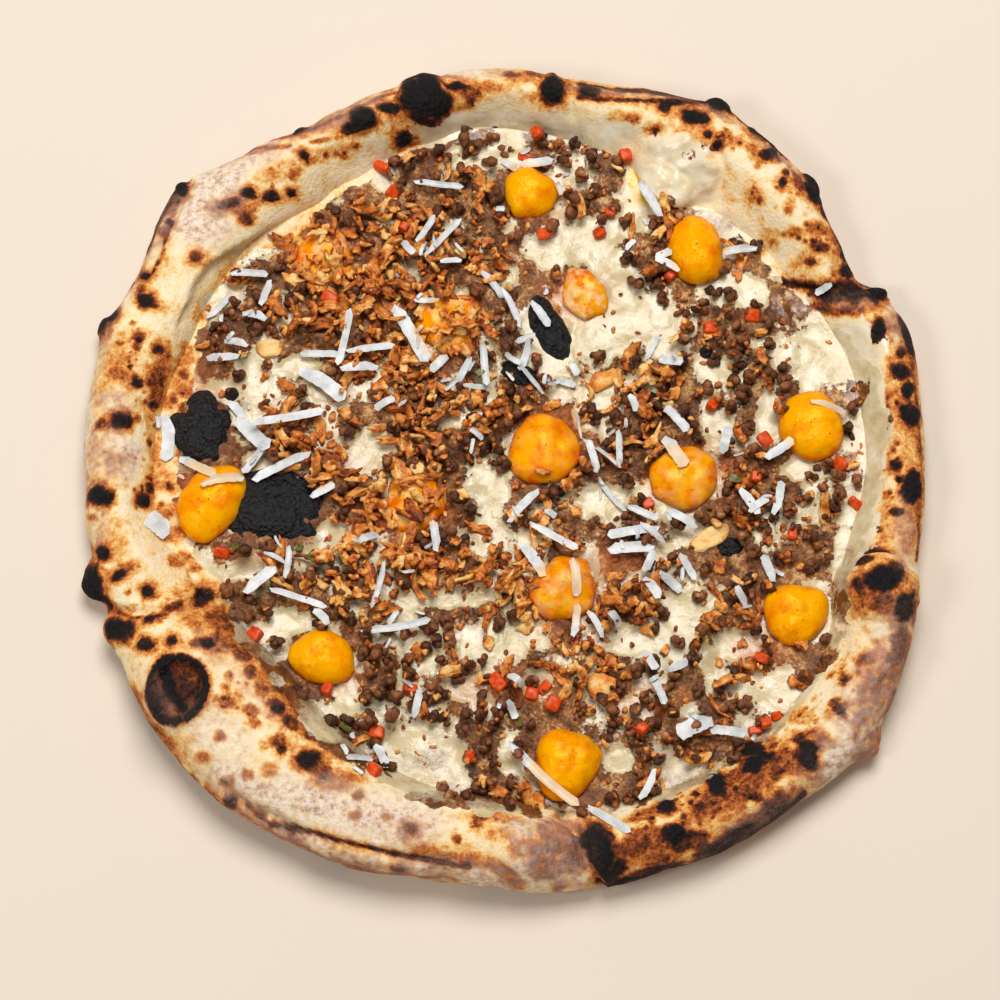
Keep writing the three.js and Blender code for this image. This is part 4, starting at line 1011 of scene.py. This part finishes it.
# How high the pizza stands at each millimetre in plan, so that what comes next rests on it.
PILE_SIDE = 320
pile = np.zeros((PILE_SIDE, PILE_SIDE))


def cells_of(points):
    """The rows and columns of the height map under points."""
    return tuple(np.clip((points[:, :2] * 1000 + PILE_SIDE / 2).astype(int), 0, PILE_SIDE - 1).T)


def stamp(points):
    """Raises the height map to the given points."""
    np.maximum.at(pile, cells_of(points), points[:, 2])


stamp(flat_bed)
stamp(section[: first_outer + 6].reshape(-1, 3))
for points in bubble_points:
    stamp(points)
for _ in range(2):
    holes = pile == 0
    around = np.maximum.reduce([np.roll(pile, s, axis=a) for s in (-1, 1) for a in (0, 1)])
    pile[holes] = around[holes]

# ---- The sauce dollops ----
# Spoonfuls of a smooth yellow sauce put on last: thick, glossy and speckled with spice, standing
# proud where they are fresh and slack where they have begun to melt into the topping.
DOLLOP_COLUMNS, DOLLOP_ROWS = 72, 34
# Where each lies in the photograph: pixel place and half sizes, and how melted it is, from 0 to 1.
DOLLOPS = [
    (530, 190, 29, 30, 0.1), (697, 248, 29, 37, 0.0), (325, 255, 34, 31, 0.9), (450, 325, 38, 30, 0.8),
    (580, 297, 28, 30, 1.0), (813, 423, 33, 39, 0.0), (545, 447, 38, 38, 0.5), (685, 475, 36, 34, 0.6),
    (209, 500, 36, 46, 0.0), (412, 503, 32, 32, 1.0), (565, 590, 34, 34, 0.7), (797, 614, 35, 34, 0.1),
    (320, 660, 35, 29, 0.1), (568, 766, 37, 41, 0.3),
]


def shell_of(node, columns, rows):
    """A closed smooth skin over a plain solid, sampled outwards from its middle."""
    tree_here = tree_over(node)
    corners = np.array([node.matrix_world @ v.co for v in node.data.vertices])
    low, high = corners.min(axis=0), corners.max(axis=0)
    core = Vector((*(low + high)[:2] / 2, low[2] + 0.3 * (high[2] - low[2])))
    grid = np.zeros((rows, columns, 3))
    for k in range(rows):
        lean = math.pi / 2 - math.pi * k / (rows - 1)
        for j in range(columns):
            turn_here = 2 * math.pi * j / columns
            level = math.cos(lean) * math.cos(turn_here), math.cos(lean) * math.sin(turn_here)
            ray = Vector((*level, math.sin(lean)))
            grid[k, j] = tree_here.ray_cast(core, ray)[0]
    soft_grid = smoothed(smoothed(grid, 1.6, 1, True), 1.1, 0, False)
    soft_grid[:, :, 2] = np.maximum(soft_grid[:, :, 2], low[2])
    return soft_grid, np.array(core), low, high


sauce, tree, place = finish_named(
    "yellow_sauce",
    Specular_IOR_Level=0.4,
    Specular_Tint=(1.0, 0.8, 0.12, 1.0),
    Subsurface_Weight=0.02,
    Subsurface_Radius=(1.0, 0.5, 0.05),
    Subsurface_Scale=0.003,
)
SAUCE = [
    (0.0, tint(252, 170, 0)), (0.4, tint(244, 142, 0)), (0.75, tint(230, 102, 0)), (1.0, tint(186, 64, 4)),
]
swirl = noise_in(tree, place, 0.006, 4.0)
veil = noise_in(tree, place, 0.0045, 4.0)
speck = noise_in(tree, place, 0.0013, 3.0)
warmth = band_in(tree, swirl, 0.35, 0.65, -0.3, 0.42)
warmth = sum_in(tree, "ADD", field_in(tree, "warmth"), warmth, clamp=True)
milky = band_in(tree, field_in(tree, "melted"), 0.45, 1.0)
milky = sum_in(tree, "MULTIPLY", milky, band_in(tree, veil, 0.44, 0.64))
colour = mix_in(tree, milky, colours_in(tree, warmth, SAUCE), tint(246, 206, 140))
spiced = band_in(tree, speck, 0.64, 0.74, 0.0, 0.75)
coat(
    tree,
    Base_Color=mix_in(tree, spiced, colour, tint(176, 70, 14)),
    Roughness=band_in(tree, swirl, 0.3, 0.7, 0.16, 0.3),
    Normal=bump_in(tree, speck, 0.0003, 0.5, bump_in(tree, veil, 0.0009, 0.5)),
)
dollop_faces = ring_faces(DOLLOP_ROWS, DOLLOP_COLUMNS)
for k, (*_, melted) in enumerate(DOLLOPS):
    node_name = f"sauce_dollop_{k + 1:02d}"
    grid, core, low, high = shell_of(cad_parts[node_name], DOLLOP_COLUMNS, DOLLOP_ROWS)
    points = grid.reshape(-1, 3)
    outward = points - core
    outward /= np.linalg.norm(outward, axis=1, keepdims=True)
    lift = ramp_between(low[2], low[2] + 0.0015, points[:, 2])
    folds = 0.9 * fuzz(points, 0.008, 70 + k) + (0.35 + 0.5 * melted) * fuzz(points, 0.0032, 71 + k)
    points += outward * ((0.0005 + 0.0009 * folds) * lift)[:, None]
    points[:, 2] = np.maximum(points[:, 2], low[2])
    height = (points[:, 2] - low[2]) / (high[2] - low[2])
    warmth = 0.55 * (1 - height) ** 2 + 0.35 * melted + 0.25 * fuzz(points, 0.006, 72)
    fields = {"warmth": warmth, "melted": np.full(len(points), melted)}
    dollop = piece_from(node_name + "_sauce", points, dollop_faces, sauce, fields)
    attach(dollop, "root")
    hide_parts(node_name)
    stamp(points)

# ---- The large crisps ----
# The biggest pieces of fried shallot: pale golden, blistered slices, stiff and slightly bent.
CRISP_COLUMNS, CRISP_ROWS = 48, 26
FRIED = [
    (0.0, tint(246, 208, 136)), (0.25, tint(238, 166, 78)), (0.5, tint(214, 120, 44)),
    (0.78, tint(166, 80, 26)), (1.0, tint(96, 44, 18)),
]
crisp, tree, place = finish_named("fried_shallot", Specular_IOR_Level=0.3, Roughness=0.48)
blotch = noise_in(tree, place, 0.0032, 4.0)
grain = noise_in(tree, place, 0.0009, 4.0)
depth = field_in(tree, "tone")
for noise, strength in ((blotch, 0.3), (grain, 0.12)):
    swing = band_in(tree, noise, 0.3, 0.7, -strength, strength)
    depth = sum_in(tree, "ADD", depth, swing, clamp=True)
blistered = bump_in(tree, blotch, 0.0008, 0.5)
coat(
    tree,
    Base_Color=colours_in(tree, depth, FRIED),
    Normal=bump_in(tree, grain, 0.0005, 0.7, blistered),
)
CRISP_TONES = (0.08, 0.4, 0.12, 0.35, 0.55, 0.5)
crisp_faces = ring_faces(CRISP_ROWS, CRISP_COLUMNS)
crisp_marks = []
for k, tone in enumerate(CRISP_TONES):
    node_name = f"shallot_crisp_{k + 1}"
    grid, core, low, high = shell_of(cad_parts[node_name], CRISP_COLUMNS, CRISP_ROWS)
    points = grid.reshape(-1, 3)
    free_top = ramp_between(low[2], low[2] + MM, points[:, 2])
    points[:, 2] += 0.0006 * fuzz(points, 0.004, 80 + k) * free_top
    wander = [fuzz(points, 0.003, seed + k) for seed in (81, 90)]
    points[:, :2] += 0.0007 * np.stack(wander, 1)
    edge = np.linalg.norm(points[:, :2] - core[:2], axis=1)
    shade = tone + 0.25 * ramp_between(0.5, 1.0, edge / edge.max()) - 0.1
    slice_ = piece_from(node_name + "_slice", points, crisp_faces, crisp, {"tone": shade})
    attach(slice_, "root")
    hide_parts(node_name)
    stamp(points)
    crisp_px = pixels_of(points)
    reach_px = 0.5 * (crisp_px.max(axis=0) - crisp_px.min(axis=0))
    crisp_marks.append((*crisp_px.mean(axis=0), *reach_px, 0, 0.92))

# ---- The mince ----
# Browned pork mince in clumps of small round crumbs, cooked in its own fat, so it is dark, wet and
# glossy. It lies over the whole bed but for the bare pools of cheese.
CLUMP_COUNT, GRAINS_EACH, GRAIN_LIMIT = 460, 6, 2450
CLUMP_REACH = 0.4
# The spans of pixels across and down in which loose bits are drawn.
TOPPING_SPANS = ((150, 900), (125, 825))
MINCE_ZONES = [
    (500, 180, 120, 42), (600, 200, 44, 34), (690, 310, 56, 52), (700, 400, 60, 50), (640, 430, 50, 40),
    (770, 390, 40, 34), (800, 520, 44, 60), (740, 480, 50, 50), (290, 300, 56, 34), (230, 335, 30, 24),
    (240, 600, 40, 26), (420, 660, 64, 32), (440, 720, 64, 34), (480, 785, 50, 26), (350, 715, 40, 34),
    (620, 725, 74, 42), (690, 745, 56, 30), (640, 790, 40, 16), (800, 560, 34, 26), (420, 210, 60, 50),
    (650, 250, 34, 30), (400, 470, 60, 40), (480, 420, 60, 40), (640, 600, 60, 40), (760, 690, 40, 34),
    (856, 415, 16, 40),
]


def unit_ball(subdivisions):
    """The points and triangles of a round ball of radius 1."""
    ball = bmesh.new()
    bmesh.ops.create_icosphere(ball, subdivisions=subdivisions, radius=1.0)
    points = np.array([v.co for v in ball.verts])
    ball.verts.index_update()
    faces = np.array([[v.index for v in f.verts] for f in ball.faces])
    ball.free()
    return points, faces


def landing(x, y):
    """Where the ray through a pixel meets what is piled up so far."""
    height = 0.010
    for _ in range(3):
        spot = place_at(x, y, height)
        row, column = cells_of(spot[None])
        height = pile[row[0], column[0]]
    return place_at(x, y, height)


def on_bed(spot):
    """Whether a place in metres lies over the bed and not up on the rim."""
    turn_here = math.atan2(spot[1], spot[0]) % (2 * math.pi)
    reach_here = edge_radius[int(turn_here / (2 * math.pi) * BED_COLUMNS) % BED_COLUMNS]
    return math.hypot(spot[0], spot[1]) < reach_here + 0.0005


def darts(count, chance, spacing, random, tries=40):
    """Pixel places drawn where chance is high, no two nearer than the spacing at each."""
    chosen = np.zeros((0, 3))
    batch = np.stack([random.uniform(*span, count * tries) for span in TOPPING_SPANS], 1)
    likely = chance(batch)
    batch = batch[random.random(len(batch)) < likely]
    gaps = spacing(len(batch))
    for place_px, gap in zip(batch, gaps):
        apart = np.linalg.norm(chosen[:, :2] - place_px, axis=1)
        if (apart < 0.5 * (chosen[:, 2] + gap)).any() or not on_bed(place_at(*place_px, BED_TOP)):
            continue
        chosen = np.vstack([chosen, (*place_px, gap)])
        if len(chosen) == count:
            break
    return chosen


def rough_places(pixels):
    """Places in metres for pixels, near enough for the unevenness that is drawn from them."""
    return np.concatenate([pixels / PX_PER_MM / 1000, np.zeros((len(pixels), 1))], 1)


def chance_over(zones, pools, bare, thin, keep_dollops=True):
    """A chance for each pixel place: high in the zones, thin elsewhere, low over pools."""

    def chance(pixels):
        points = rough_places(pixels)
        result = (thin + (1 - thin) * ovals(pixels, points, zones)) * spread_over(pixels, points)
        result *= 1 - (1 - bare) * ovals(pixels, points, pools)
        if keep_dollops:
            marks = [(*dollop[:4], 0, 1.0) for dollop in DOLLOPS]
            result *= 1 - painted(pixels, points, marks, 0.05, 1.15, 1.05)
        result *= 1 - painted(pixels, points, crisp_marks, 0.05, 1.1, 0.95)
        burnt = [(*bubble[:5], 1.0) for bubble in CHAR_BUBBLES[:3]]
        return result * (1 - painted(pixels, points, burnt, 0.1, 1.1, 0.95))

    return chance


def spun(random, count, tilt):
    """Random turns about the upright, each with a random lean of up to `tilt` radians."""
    result = np.zeros((count, 3, 3))
    for k in range(count):
        turn_matrix = Matrix.Rotation(random.uniform(0, 2 * math.pi), 3, "Z")
        lean_axis = Vector((random.normal(), random.normal(), 0.01)).normalized()
        lean_matrix = Matrix.Rotation(random.uniform(-tilt, tilt), 3, lean_axis)
        result[k] = np.array(lean_matrix @ turn_matrix)
    return result


def laid(shapes, places, random, tilt, sink):
    """Shapes spun and set down in turn on the pile, each sunk by a share of its height."""
    shapes = np.einsum("nvi,nji->nvj", shapes, spun(random, len(shapes), tilt))
    result = np.zeros_like(shapes)
    for k, (x, y, *_) in enumerate(places):
        spot = landing(x, y)
        footprint = shapes[k] * (0.6, 0.6, 1) + spot * (1, 1, 0)
        ground = np.mean(pile[cells_of(footprint)])
        low = shapes[k][:, 2].min()
        height = shapes[k][:, 2].max() - low
        result[k] = shapes[k] + (spot[0], spot[1], ground - low - sink * height)
        stamp(result[k])
    return result


def own_fuzz(shapes, apart, size, seed):
    """Unevenness at the points of many shapes, no two of which are alike."""
    shifted = shapes + np.arange(len(shapes))[:, None, None] * apart
    return fuzz(shifted.reshape(-1, 3), size, seed).reshape(len(shapes), -1)


def scattered(name, shapes, faces, material, fields, crisp_edges=False):
    """One piece from many shapes of the same faces, given number fields per shape or per point."""
    count, each = shapes.shape[:2]
    all_faces = (faces[None] + (np.arange(count) * each)[:, None, None]).reshape(-1, faces.shape[1])
    spread_fields = {}
    for field, values in fields.items():
        spread_fields[field] = np.repeat(values, each) if values.ndim == 1 else values.reshape(-1)
    thing = piece_from(name, shapes.reshape(-1, 3), all_faces, material, spread_fields, crisp_edges)
    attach(thing, "root")
    return thing


random = np.random.default_rng(11)
mince_chance = chance_over(MINCE_ZONES, POOLS, 0.03, 0.4)
clump_places = darts(CLUMP_COUNT, mince_chance, lambda n: random.uniform(9, 16, n), random)
clump_tones = random.uniform(0, 0.45, len(clump_places))
grain_places, mince_tone = [], []
for (x, y, gap), clump_tone in zip(clump_places, clump_tones):
    for _ in range(random.integers(GRAINS_EACH - 2, GRAINS_EACH + 1)):
        turn = random.uniform(0, 2 * math.pi)
        out = CLUMP_REACH * gap * math.sqrt(random.uniform())
        grain_places.append((x + out * math.cos(turn), y + out * math.sin(turn), gap))
        mince_tone.append(clump_tone + random.uniform(0, 0.5))
grain_places = np.array(grain_places[:GRAIN_LIMIT])
mince_tone = np.array(mince_tone[:GRAIN_LIMIT])
count = len(grain_places)
directions, ball_faces = unit_ball(2)
grains = directions[None] * random.uniform(0.001, 0.002, (count, 1, 1))
grains = grains * random.uniform(0.75, 1.25, (count, 1, 3))
grains *= 1 + 0.4 * own_fuzz(grains, 0.019, 0.0012, 3)[:, :, None]
grains = laid(grains, grain_places, random, 0.6, 0.3)

BROWNS = [
    (0.0, tint(50, 26, 13)), (0.3, tint(90, 50, 26)), (0.6, tint(128, 74, 40)), (0.85, tint(162, 100, 58)),
    (1.0, tint(202, 144, 94)),
]
mince, tree, place = finish_named(
    "browned_mince",
    Specular_IOR_Level=0.32,
    Subsurface_Weight=0.06,
    Subsurface_Radius=(1.0, 0.4, 0.25),
    Subsurface_Scale=0.001,
)
blotch = noise_in(tree, place, 0.0024, 4.0)
grain = noise_in(tree, place, 0.0008, 4.0, 0.65)
swing = band_in(tree, blotch, 0.3, 0.7, -0.3, 0.3)
tone = sum_in(tree, "ADD", field_in(tree, "tone"), swing, clamp=True)
coat(
    tree,
    Base_Color=colours_in(tree, tone, BROWNS),
    Roughness=band_in(tree, grain, 0.35, 0.65, 0.22, 0.5),
    Normal=bump_in(tree, grain, 0.0006, 0.8),
)
scattered("mince_clumps", grains, ball_faces, mince, {"tone": mince_tone})

# ---- The fried onion ----
# Shreds of onion fried crisp, orange-brown with darker edges, strewn over the mince and thickest
# at the far left and in the middle.
ONION_COUNT = 600
ONION_ZONES = [
    (330, 262, 44, 42), (400, 275, 54, 60), (440, 325, 44, 34), (300, 315, 44, 22), (400, 365, 60, 32),
    (450, 412, 60, 32), (300, 432, 40, 30), (330, 482, 40, 22), (400, 505, 50, 42), (410, 562, 62, 32),
    (350, 602, 50, 22), (470, 562, 34, 30), (380, 225, 40, 24), (480, 180, 20, 14), (490, 262, 22, 22),
    (500, 580, 40, 30), (560, 642, 54, 32), (600, 682, 36, 22), (560, 530, 30, 22), (620, 602, 40, 25),
    (480, 642, 30, 20), (620, 382, 40, 16), (660, 392, 25, 16), (700, 602, 32, 20), (750, 602, 32, 20),
    (740, 660, 22, 20), (545, 425, 30, 16), (410, 440, 40, 20), (350, 560, 40, 20), (560, 470, 30, 14),
]
random = np.random.default_rng(23)
directions, ball_faces = unit_ball(3)
onion_chance = chance_over(ONION_ZONES, POOLS, 0.12, 0.07, keep_dollops=False)
fresh = [(*dollop[:4], 0, 0.97) for dollop in DOLLOPS if dollop[4] < 0.75]


def onion_odds(pixels):
    """The onion's chance, kept off the dollops that show bare."""
    bare = 1 - painted(pixels, rough_places(pixels), fresh, 0.05, 1.1, 1.0)
    return onion_chance(pixels) * bare


onion_places = darts(ONION_COUNT, onion_odds, lambda n: random.uniform(4.5, 9, n), random)
count = len(onion_places)
long = (1.3 + 4.4 * random.uniform(0, 1, count) ** 1.5) / 1000
wide = random.uniform(0.7, 2.2, count) / 1000
thick = random.uniform(0.5, 1.05, count) / 1000
blocky = np.sign(directions) * np.abs(directions) ** 0.7
flakes = blocky[None] * np.stack([long, wide, thick], 1)[:, None]
ragged = own_fuzz(flakes, 0.037, 0.0013, 5)
notched = own_fuzz(flakes, 0.037, 0.0007, 6)
flakes *= (1 + 0.48 * ragged + 0.3 * notched)[:, :, None]
bend = random.uniform(-70, 130, count)[:, None]
flakes[:, :, 2] += bend * flakes[:, :, 0] ** 2
flakes[:, :, 1] += random.uniform(-60, 60, count)[:, None] * flakes[:, :, 0] ** 2
onion_tone = random.uniform(0.15, 0.75, count)[:, None] - 0.3 * ragged
onion_tone += 0.22 * ramp_between(0.6, 1.0, np.abs(blocky[:, 0]))[None]
flakes = laid(flakes, onion_places, random, 0.75, 0.12)
scattered("fried_onion", flakes, ball_faces, crisp, {"tone": onion_tone})

# ---- Carrot and greens ----
# Small dice of carrot cooked in the ragu, orange-red and wet, and a few shreds of green herb.
CARROTS = [
    (382, 172), (393, 192), (404, 227), (537, 133), (525, 157), (610, 213), (671, 276), (710, 330),
    (752, 315), (712, 407), (765, 440), (757, 475), (840, 465), (855, 503), (793, 532), (762, 658),
    (766, 722), (755, 731), (640, 727), (532, 695), (553, 705), (495, 680), (410, 690), (377, 733),
    (374, 770), (470, 757), (222, 553), (255, 635), (327, 690), (625, 157), (648, 505), (500, 686),
    (545, 688), (545, 232), (776, 716), (330, 300), (600, 228),
]
GREENS = [(300, 548), (235, 548), (345, 728), (520, 722), (480, 372), (312, 556), (735, 478)]
random = np.random.default_rng(31)
dice_directions, dice_faces = unit_ball(3)
dice_places = np.array([(x, y, 0) for x, y in CARROTS + GREENS], float)
count = len(dice_places)
cube = np.sign(dice_directions) * np.abs(dice_directions) ** 0.38
sides = random.uniform(0.0017, 0.0031, (count, 3)) * (1, 0.85, 0.7)
is_green = np.arange(count) >= len(CARROTS)
sides[is_green] *= (0.8, 0.7, 0.4)
dice = cube[None] * sides[:, None]
dice += 0.0003 * own_fuzz(dice, 0.05, 0.002, 7)[:, :, None] * dice_directions
dice = laid(dice, dice_places, random, 0.5, 0.3)
ORANGE_RED = [(0.3, tint(190, 50, 8)), (0.6, tint(226, 82, 14)), (0.8, tint(238, 116, 40))]
HERB_GREEN = [(0.3, tint(70, 70, 24)), (0.6, tint(112, 104, 42)), (0.8, tint(140, 132, 64))]
for name, chosen, stops in (("carrot_dice", ~is_green, ORANGE_RED), ("green_shreds", is_green, HERB_GREEN)):
    skin, tree, place = finish_named(name, Specular_IOR_Level=0.22, Roughness=0.3)
    vein = noise_in(tree, place, 0.0018, 3.0)
    coat(tree, Base_Color=colours_in(tree, vein, stops), Normal=bump_in(tree, vein, 0.0003, 0.5))
    scattered(name, dice[chosen], dice_faces, skin, {})

# ---- The fine crumbs ----
# Broken bits of onion and mince, a millimetre or two across, caught on everything.
CRUMB_COUNT = 1000
random = np.random.default_rng(37)
crumb_directions, crumb_faces = unit_ball(2)
crumb_chance = chance_over(ONION_ZONES + MINCE_ZONES, POOLS, 0.3, 0.5)
crumb_places = darts(CRUMB_COUNT, crumb_chance, lambda n: random.uniform(2, 5, n), random)
count = len(crumb_places)
crumbs = crumb_directions[None] * random.uniform(0.0003, 0.0013, (count, 1, 3))
crumbs *= 1 + 0.6 * own_fuzz(crumbs, 0.021, 0.0009, 8)[:, :, None]
crumbs = laid(crumbs, crumb_places, random, 0.8, 0.2)
crumb_tone = random.uniform(0.3, 0.95, count)
scattered("fine_crumbs", crumbs, crumb_faces, crisp, {"tone": crumb_tone})

# ---- The cheese shavings ----
# Hard white cheese, shaved over the pizza after baking: thin, slightly see-through strips with
# torn ends, a few curled or softened where they lie on the warm sauce.
STRIP_STEPS = 18
STRIP_LANES = 5
STRIP_THICK = 0.0002
STRIP_CLEAR = 0.0002
WIDTH_KEPT = 0.84
# Each: pixel places of its two ends, and its width in pixels.
SHAVINGS = [
    (413, 181, 464, 188, 7), (435, 215, 417, 243, 7), (403, 242, 415, 262, 8), (462, 222, 425, 257, 7),
    (495, 210, 505, 210, 6), (230, 275, 270, 283, 8), (272, 283, 262, 308, 8), (232, 295, 207, 320, 7),
    (243, 315, 268, 320, 9), (414, 300, 440, 303, 6), (440, 265, 462, 260, 6), (482, 270, 504, 298, 8),
    (351, 312, 338, 368, 8), (300, 355, 347, 352, 8), (345, 350, 395, 345, 8), (340, 370, 379, 368, 10),
    (395, 308, 428, 365, 14), (430, 372, 447, 358, 10), (472, 357, 458, 382, 8),
    (462, 383, 488, 388, 6), (483, 345, 487, 388, 8), (445, 392, 458, 380, 4), (375, 411, 395, 400, 8),
    (207, 360, 240, 355, 9), (225, 342, 250, 352, 8), (300, 370, 345, 400, 16),
    (230, 402, 245, 418, 10), (238, 418, 270, 450, 16), (250, 425, 325, 414, 9),
    (167, 415, 166, 462, 14), (180, 457, 217, 476, 10), (265, 445, 243, 474, 8),
    (252, 481, 311, 453, 10), (310, 498, 335, 486, 8), (470, 430, 483, 443, 6), (502, 162, 518, 170, 8),
    (520, 166, 553, 161, 10), (557, 185, 562, 200, 6), (640, 183, 663, 217, 10),
    (625, 250, 635, 240, 6), (655, 258, 672, 250, 9), (655, 260, 680, 272, 8), (722, 255, 757, 249, 9),
    (814, 296, 831, 284, 8), (532, 302, 550, 328, 9), (502, 290, 521, 333, 7), (515, 343, 535, 338, 7),
    (530, 338, 520, 372, 8), (505, 358, 522, 365, 6), (520, 365, 545, 392, 5), (570, 363, 578, 378, 8),
    (556, 380, 576, 386, 8), (658, 341, 645, 362, 6), (658, 360, 683, 363, 10), (630, 396, 637, 413, 8),
    (665, 408, 688, 432, 10), (665, 438, 686, 467, 14), (729, 430, 722, 458, 10),
    (578, 415, 582, 440, 3), (582, 440, 621, 471, 4), (619, 430, 620, 467, 7), (764, 458, 793, 440, 10),
    (810, 401, 846, 412, 7), (588, 442, 597, 478, 8), (148, 518, 170, 536, 20),
    (200, 485, 245, 480, 10), (243, 593, 276, 569, 12), (264, 553, 288, 566, 5),
    (291, 550, 286, 580, 7), (270, 591, 328, 609, 7), (315, 611, 330, 625, 9), (356, 543, 379, 537, 8),
    (386, 562, 372, 611, 6), (433, 521, 438, 553, 9), (360, 632, 431, 621, 8), (388, 625, 398, 611, 6),
    (421, 692, 415, 721, 8), (376, 744, 388, 768, 9), (342, 745, 348, 755, 5), (346, 758, 374, 762, 6),
    (507, 523, 538, 492, 9), (545, 510, 556, 518, 7), (530, 524, 578, 551, 8), (523, 544, 546, 576, 12),
    (573, 560, 577, 600, 10), (578, 604, 574, 638, 8), (588, 611, 604, 639, 7), (609, 613, 619, 631, 8),
    (602, 484, 627, 511, 6), (627, 507, 658, 521, 8), (607, 537, 659, 530, 10),
    (607, 552, 654, 550, 12), (640, 525, 665, 545, 6), (654, 554, 644, 576, 9), (680, 554, 696, 581, 8),
    (660, 570, 682, 592, 10), (645, 580, 660, 600, 10), (666, 514, 698, 526, 9),
    (741, 488, 760, 515, 10), (748, 511, 768, 499, 8), (781, 482, 774, 517, 9),
    (763, 557, 775, 583, 10), (735, 588, 747, 607, 8), (643, 652, 656, 671, 9), (653, 682, 665, 707, 8),
    (666, 672, 688, 660, 9), (508, 678, 523, 692, 8), (509, 700, 516, 720, 8), (677, 735, 711, 720, 18),
    (710, 728, 745, 736, 10), (509, 744, 579, 807, 10), (588, 807, 631, 832, 9),
    (656, 770, 640, 801, 8),
]
random = np.random.default_rng(41)
# Small shards broken off the strips lie beside about half of them.
shards = []
for x1, y1, x2, y2, width_px in SHAVINGS:
    if random.random() < 0.5:
        turn, reach = random.uniform(0, 2 * math.pi), random.uniform(3, 7)
        x, y = (x1 + x2) / 2 + random.normal() * 13, (y1 + y2) / 2 + random.normal() * 13
        dx, dy = reach * math.cos(turn), reach * math.sin(turn)
        shards.append((x - dx, y - dy, x + dx, y + dy, random.uniform(2.5, 5)))


def strip_shape(x1, y1, x2, y2, width_px):
    """A thin strip between two pixel places that rests on the pile: a closed grid of points."""
    start, end = landing(x1, y1), landing(x2, y2)
    share = np.linspace(0, 1, STRIP_STEPS)
    spine = start + share[:, None] * (end - start)
    length = np.linalg.norm((end - start)[:2])
    across = np.array([-(end - start)[1], (end - start)[0], 0]) / length
    sway = random.normal() * 0.022 * length
    spine += across * (sway * np.sin(math.pi * share))[:, None]
    half_width = 0.5 * width_px / PX_PER_MM / 1000
    left, right = (half_width * 1.1 * (1 + 0.05 * random.normal(size=STRIP_STEPS)) for _ in range(2))
    for slanted, longest in ((left, 0.06), (right, 0.34)):
        slanted *= np.clip(share / random.uniform(0.03, longest), 0.08, 1)
        slanted *= np.clip((1 - share) / random.uniform(0.03, longest), 0.08, 1)
    lanes = np.linspace(-1, 1, STRIP_LANES)
    reaches = [np.where(lane < 0, left, right)[:, None] * lane for lane in lanes]
    grid = np.stack([spine + across * reach for reach in reaches], axis=1)
    ground = pile[cells_of(grid.reshape(-1, 3))].reshape(STRIP_STEPS, len(lanes)).max(axis=1)
    line = smoothed(ground, 5.5, 0, False)
    line += max(0.0, np.quantile(ground - line, 0.7))
    line += random.uniform(0, 0.0011) * (2 * np.abs(share - 0.5)) ** 2
    cup = random.uniform(-0.0003, 0.0006)
    grid[:, :, 2] = line[:, None] + cup * (lanes**2)[None] + STRIP_CLEAR
    under = grid.copy()
    grid[:, :, 2] += STRIP_THICK
    loop = np.concatenate([grid, under[:, ::-1]], axis=1)
    stamp(grid.reshape(-1, 3))
    return loop


def strip_faces():
    """The faces of one strip: the tube of its loops, and its two ends."""
    lanes = 2 * STRIP_LANES
    quads = []
    for k in range(STRIP_STEPS - 1):
        for j in range(lanes):
            here, after = k * lanes + j, k * lanes + (j + 1) % lanes
            quads.append((here, after, after + lanes, here + lanes))
    for first in (0, (STRIP_STEPS - 1) * lanes):
        for j in range(STRIP_LANES - 1):
            quad = (first + j, first + j + 1, first + lanes - 2 - j, first + lanes - 1 - j)
            quads.append(quad[::-1] if first == 0 else quad)
    return np.array(quads)


strips = np.array([
    strip_shape(*ends, WIDTH_KEPT * width_px).reshape(-1, 3) for *ends, width_px in SHAVINGS + shards
])
HAZY = [(0.35, tint(198, 200, 199)), (0.55, tint(222, 223, 221)), (0.75, tint(240, 240, 237))]
hard_cheese, tree, place = finish_named(
    "shaved_cheese",
    Specular_IOR_Level=0.45,
    Roughness=0.4,
    Subsurface_Weight=0.2,
    Subsurface_Radius=(1.0, 0.9, 0.75),
    Subsurface_Scale=0.0015,
)
haze = noise_in(tree, place, 0.004, 3.0)
stain = band_in(tree, field_in(tree, "stained"), 0.2, 0.9, 0.0, 0.55)
coat(
    tree,
    Base_Color=mix_in(tree, stain, colours_in(tree, haze, HAZY), tint(248, 190, 96)),
    Normal=bump_in(tree, haze, 0.0003, 0.4),
)
strip_points = strips.reshape(-1, 3)
sauce_marks = [(*dollop[:4], 0, 1.0) for dollop in DOLLOPS]
on_sauce = painted(pixels_of(strip_points), strip_points, sauce_marks, 0.1, 1.1, 0.9)
stains = {"stained": on_sauce.reshape(len(strips), -1)}
scattered("cheese_shavings", strips, strip_faces(), hard_cheese, stains, crisp_edges=True)
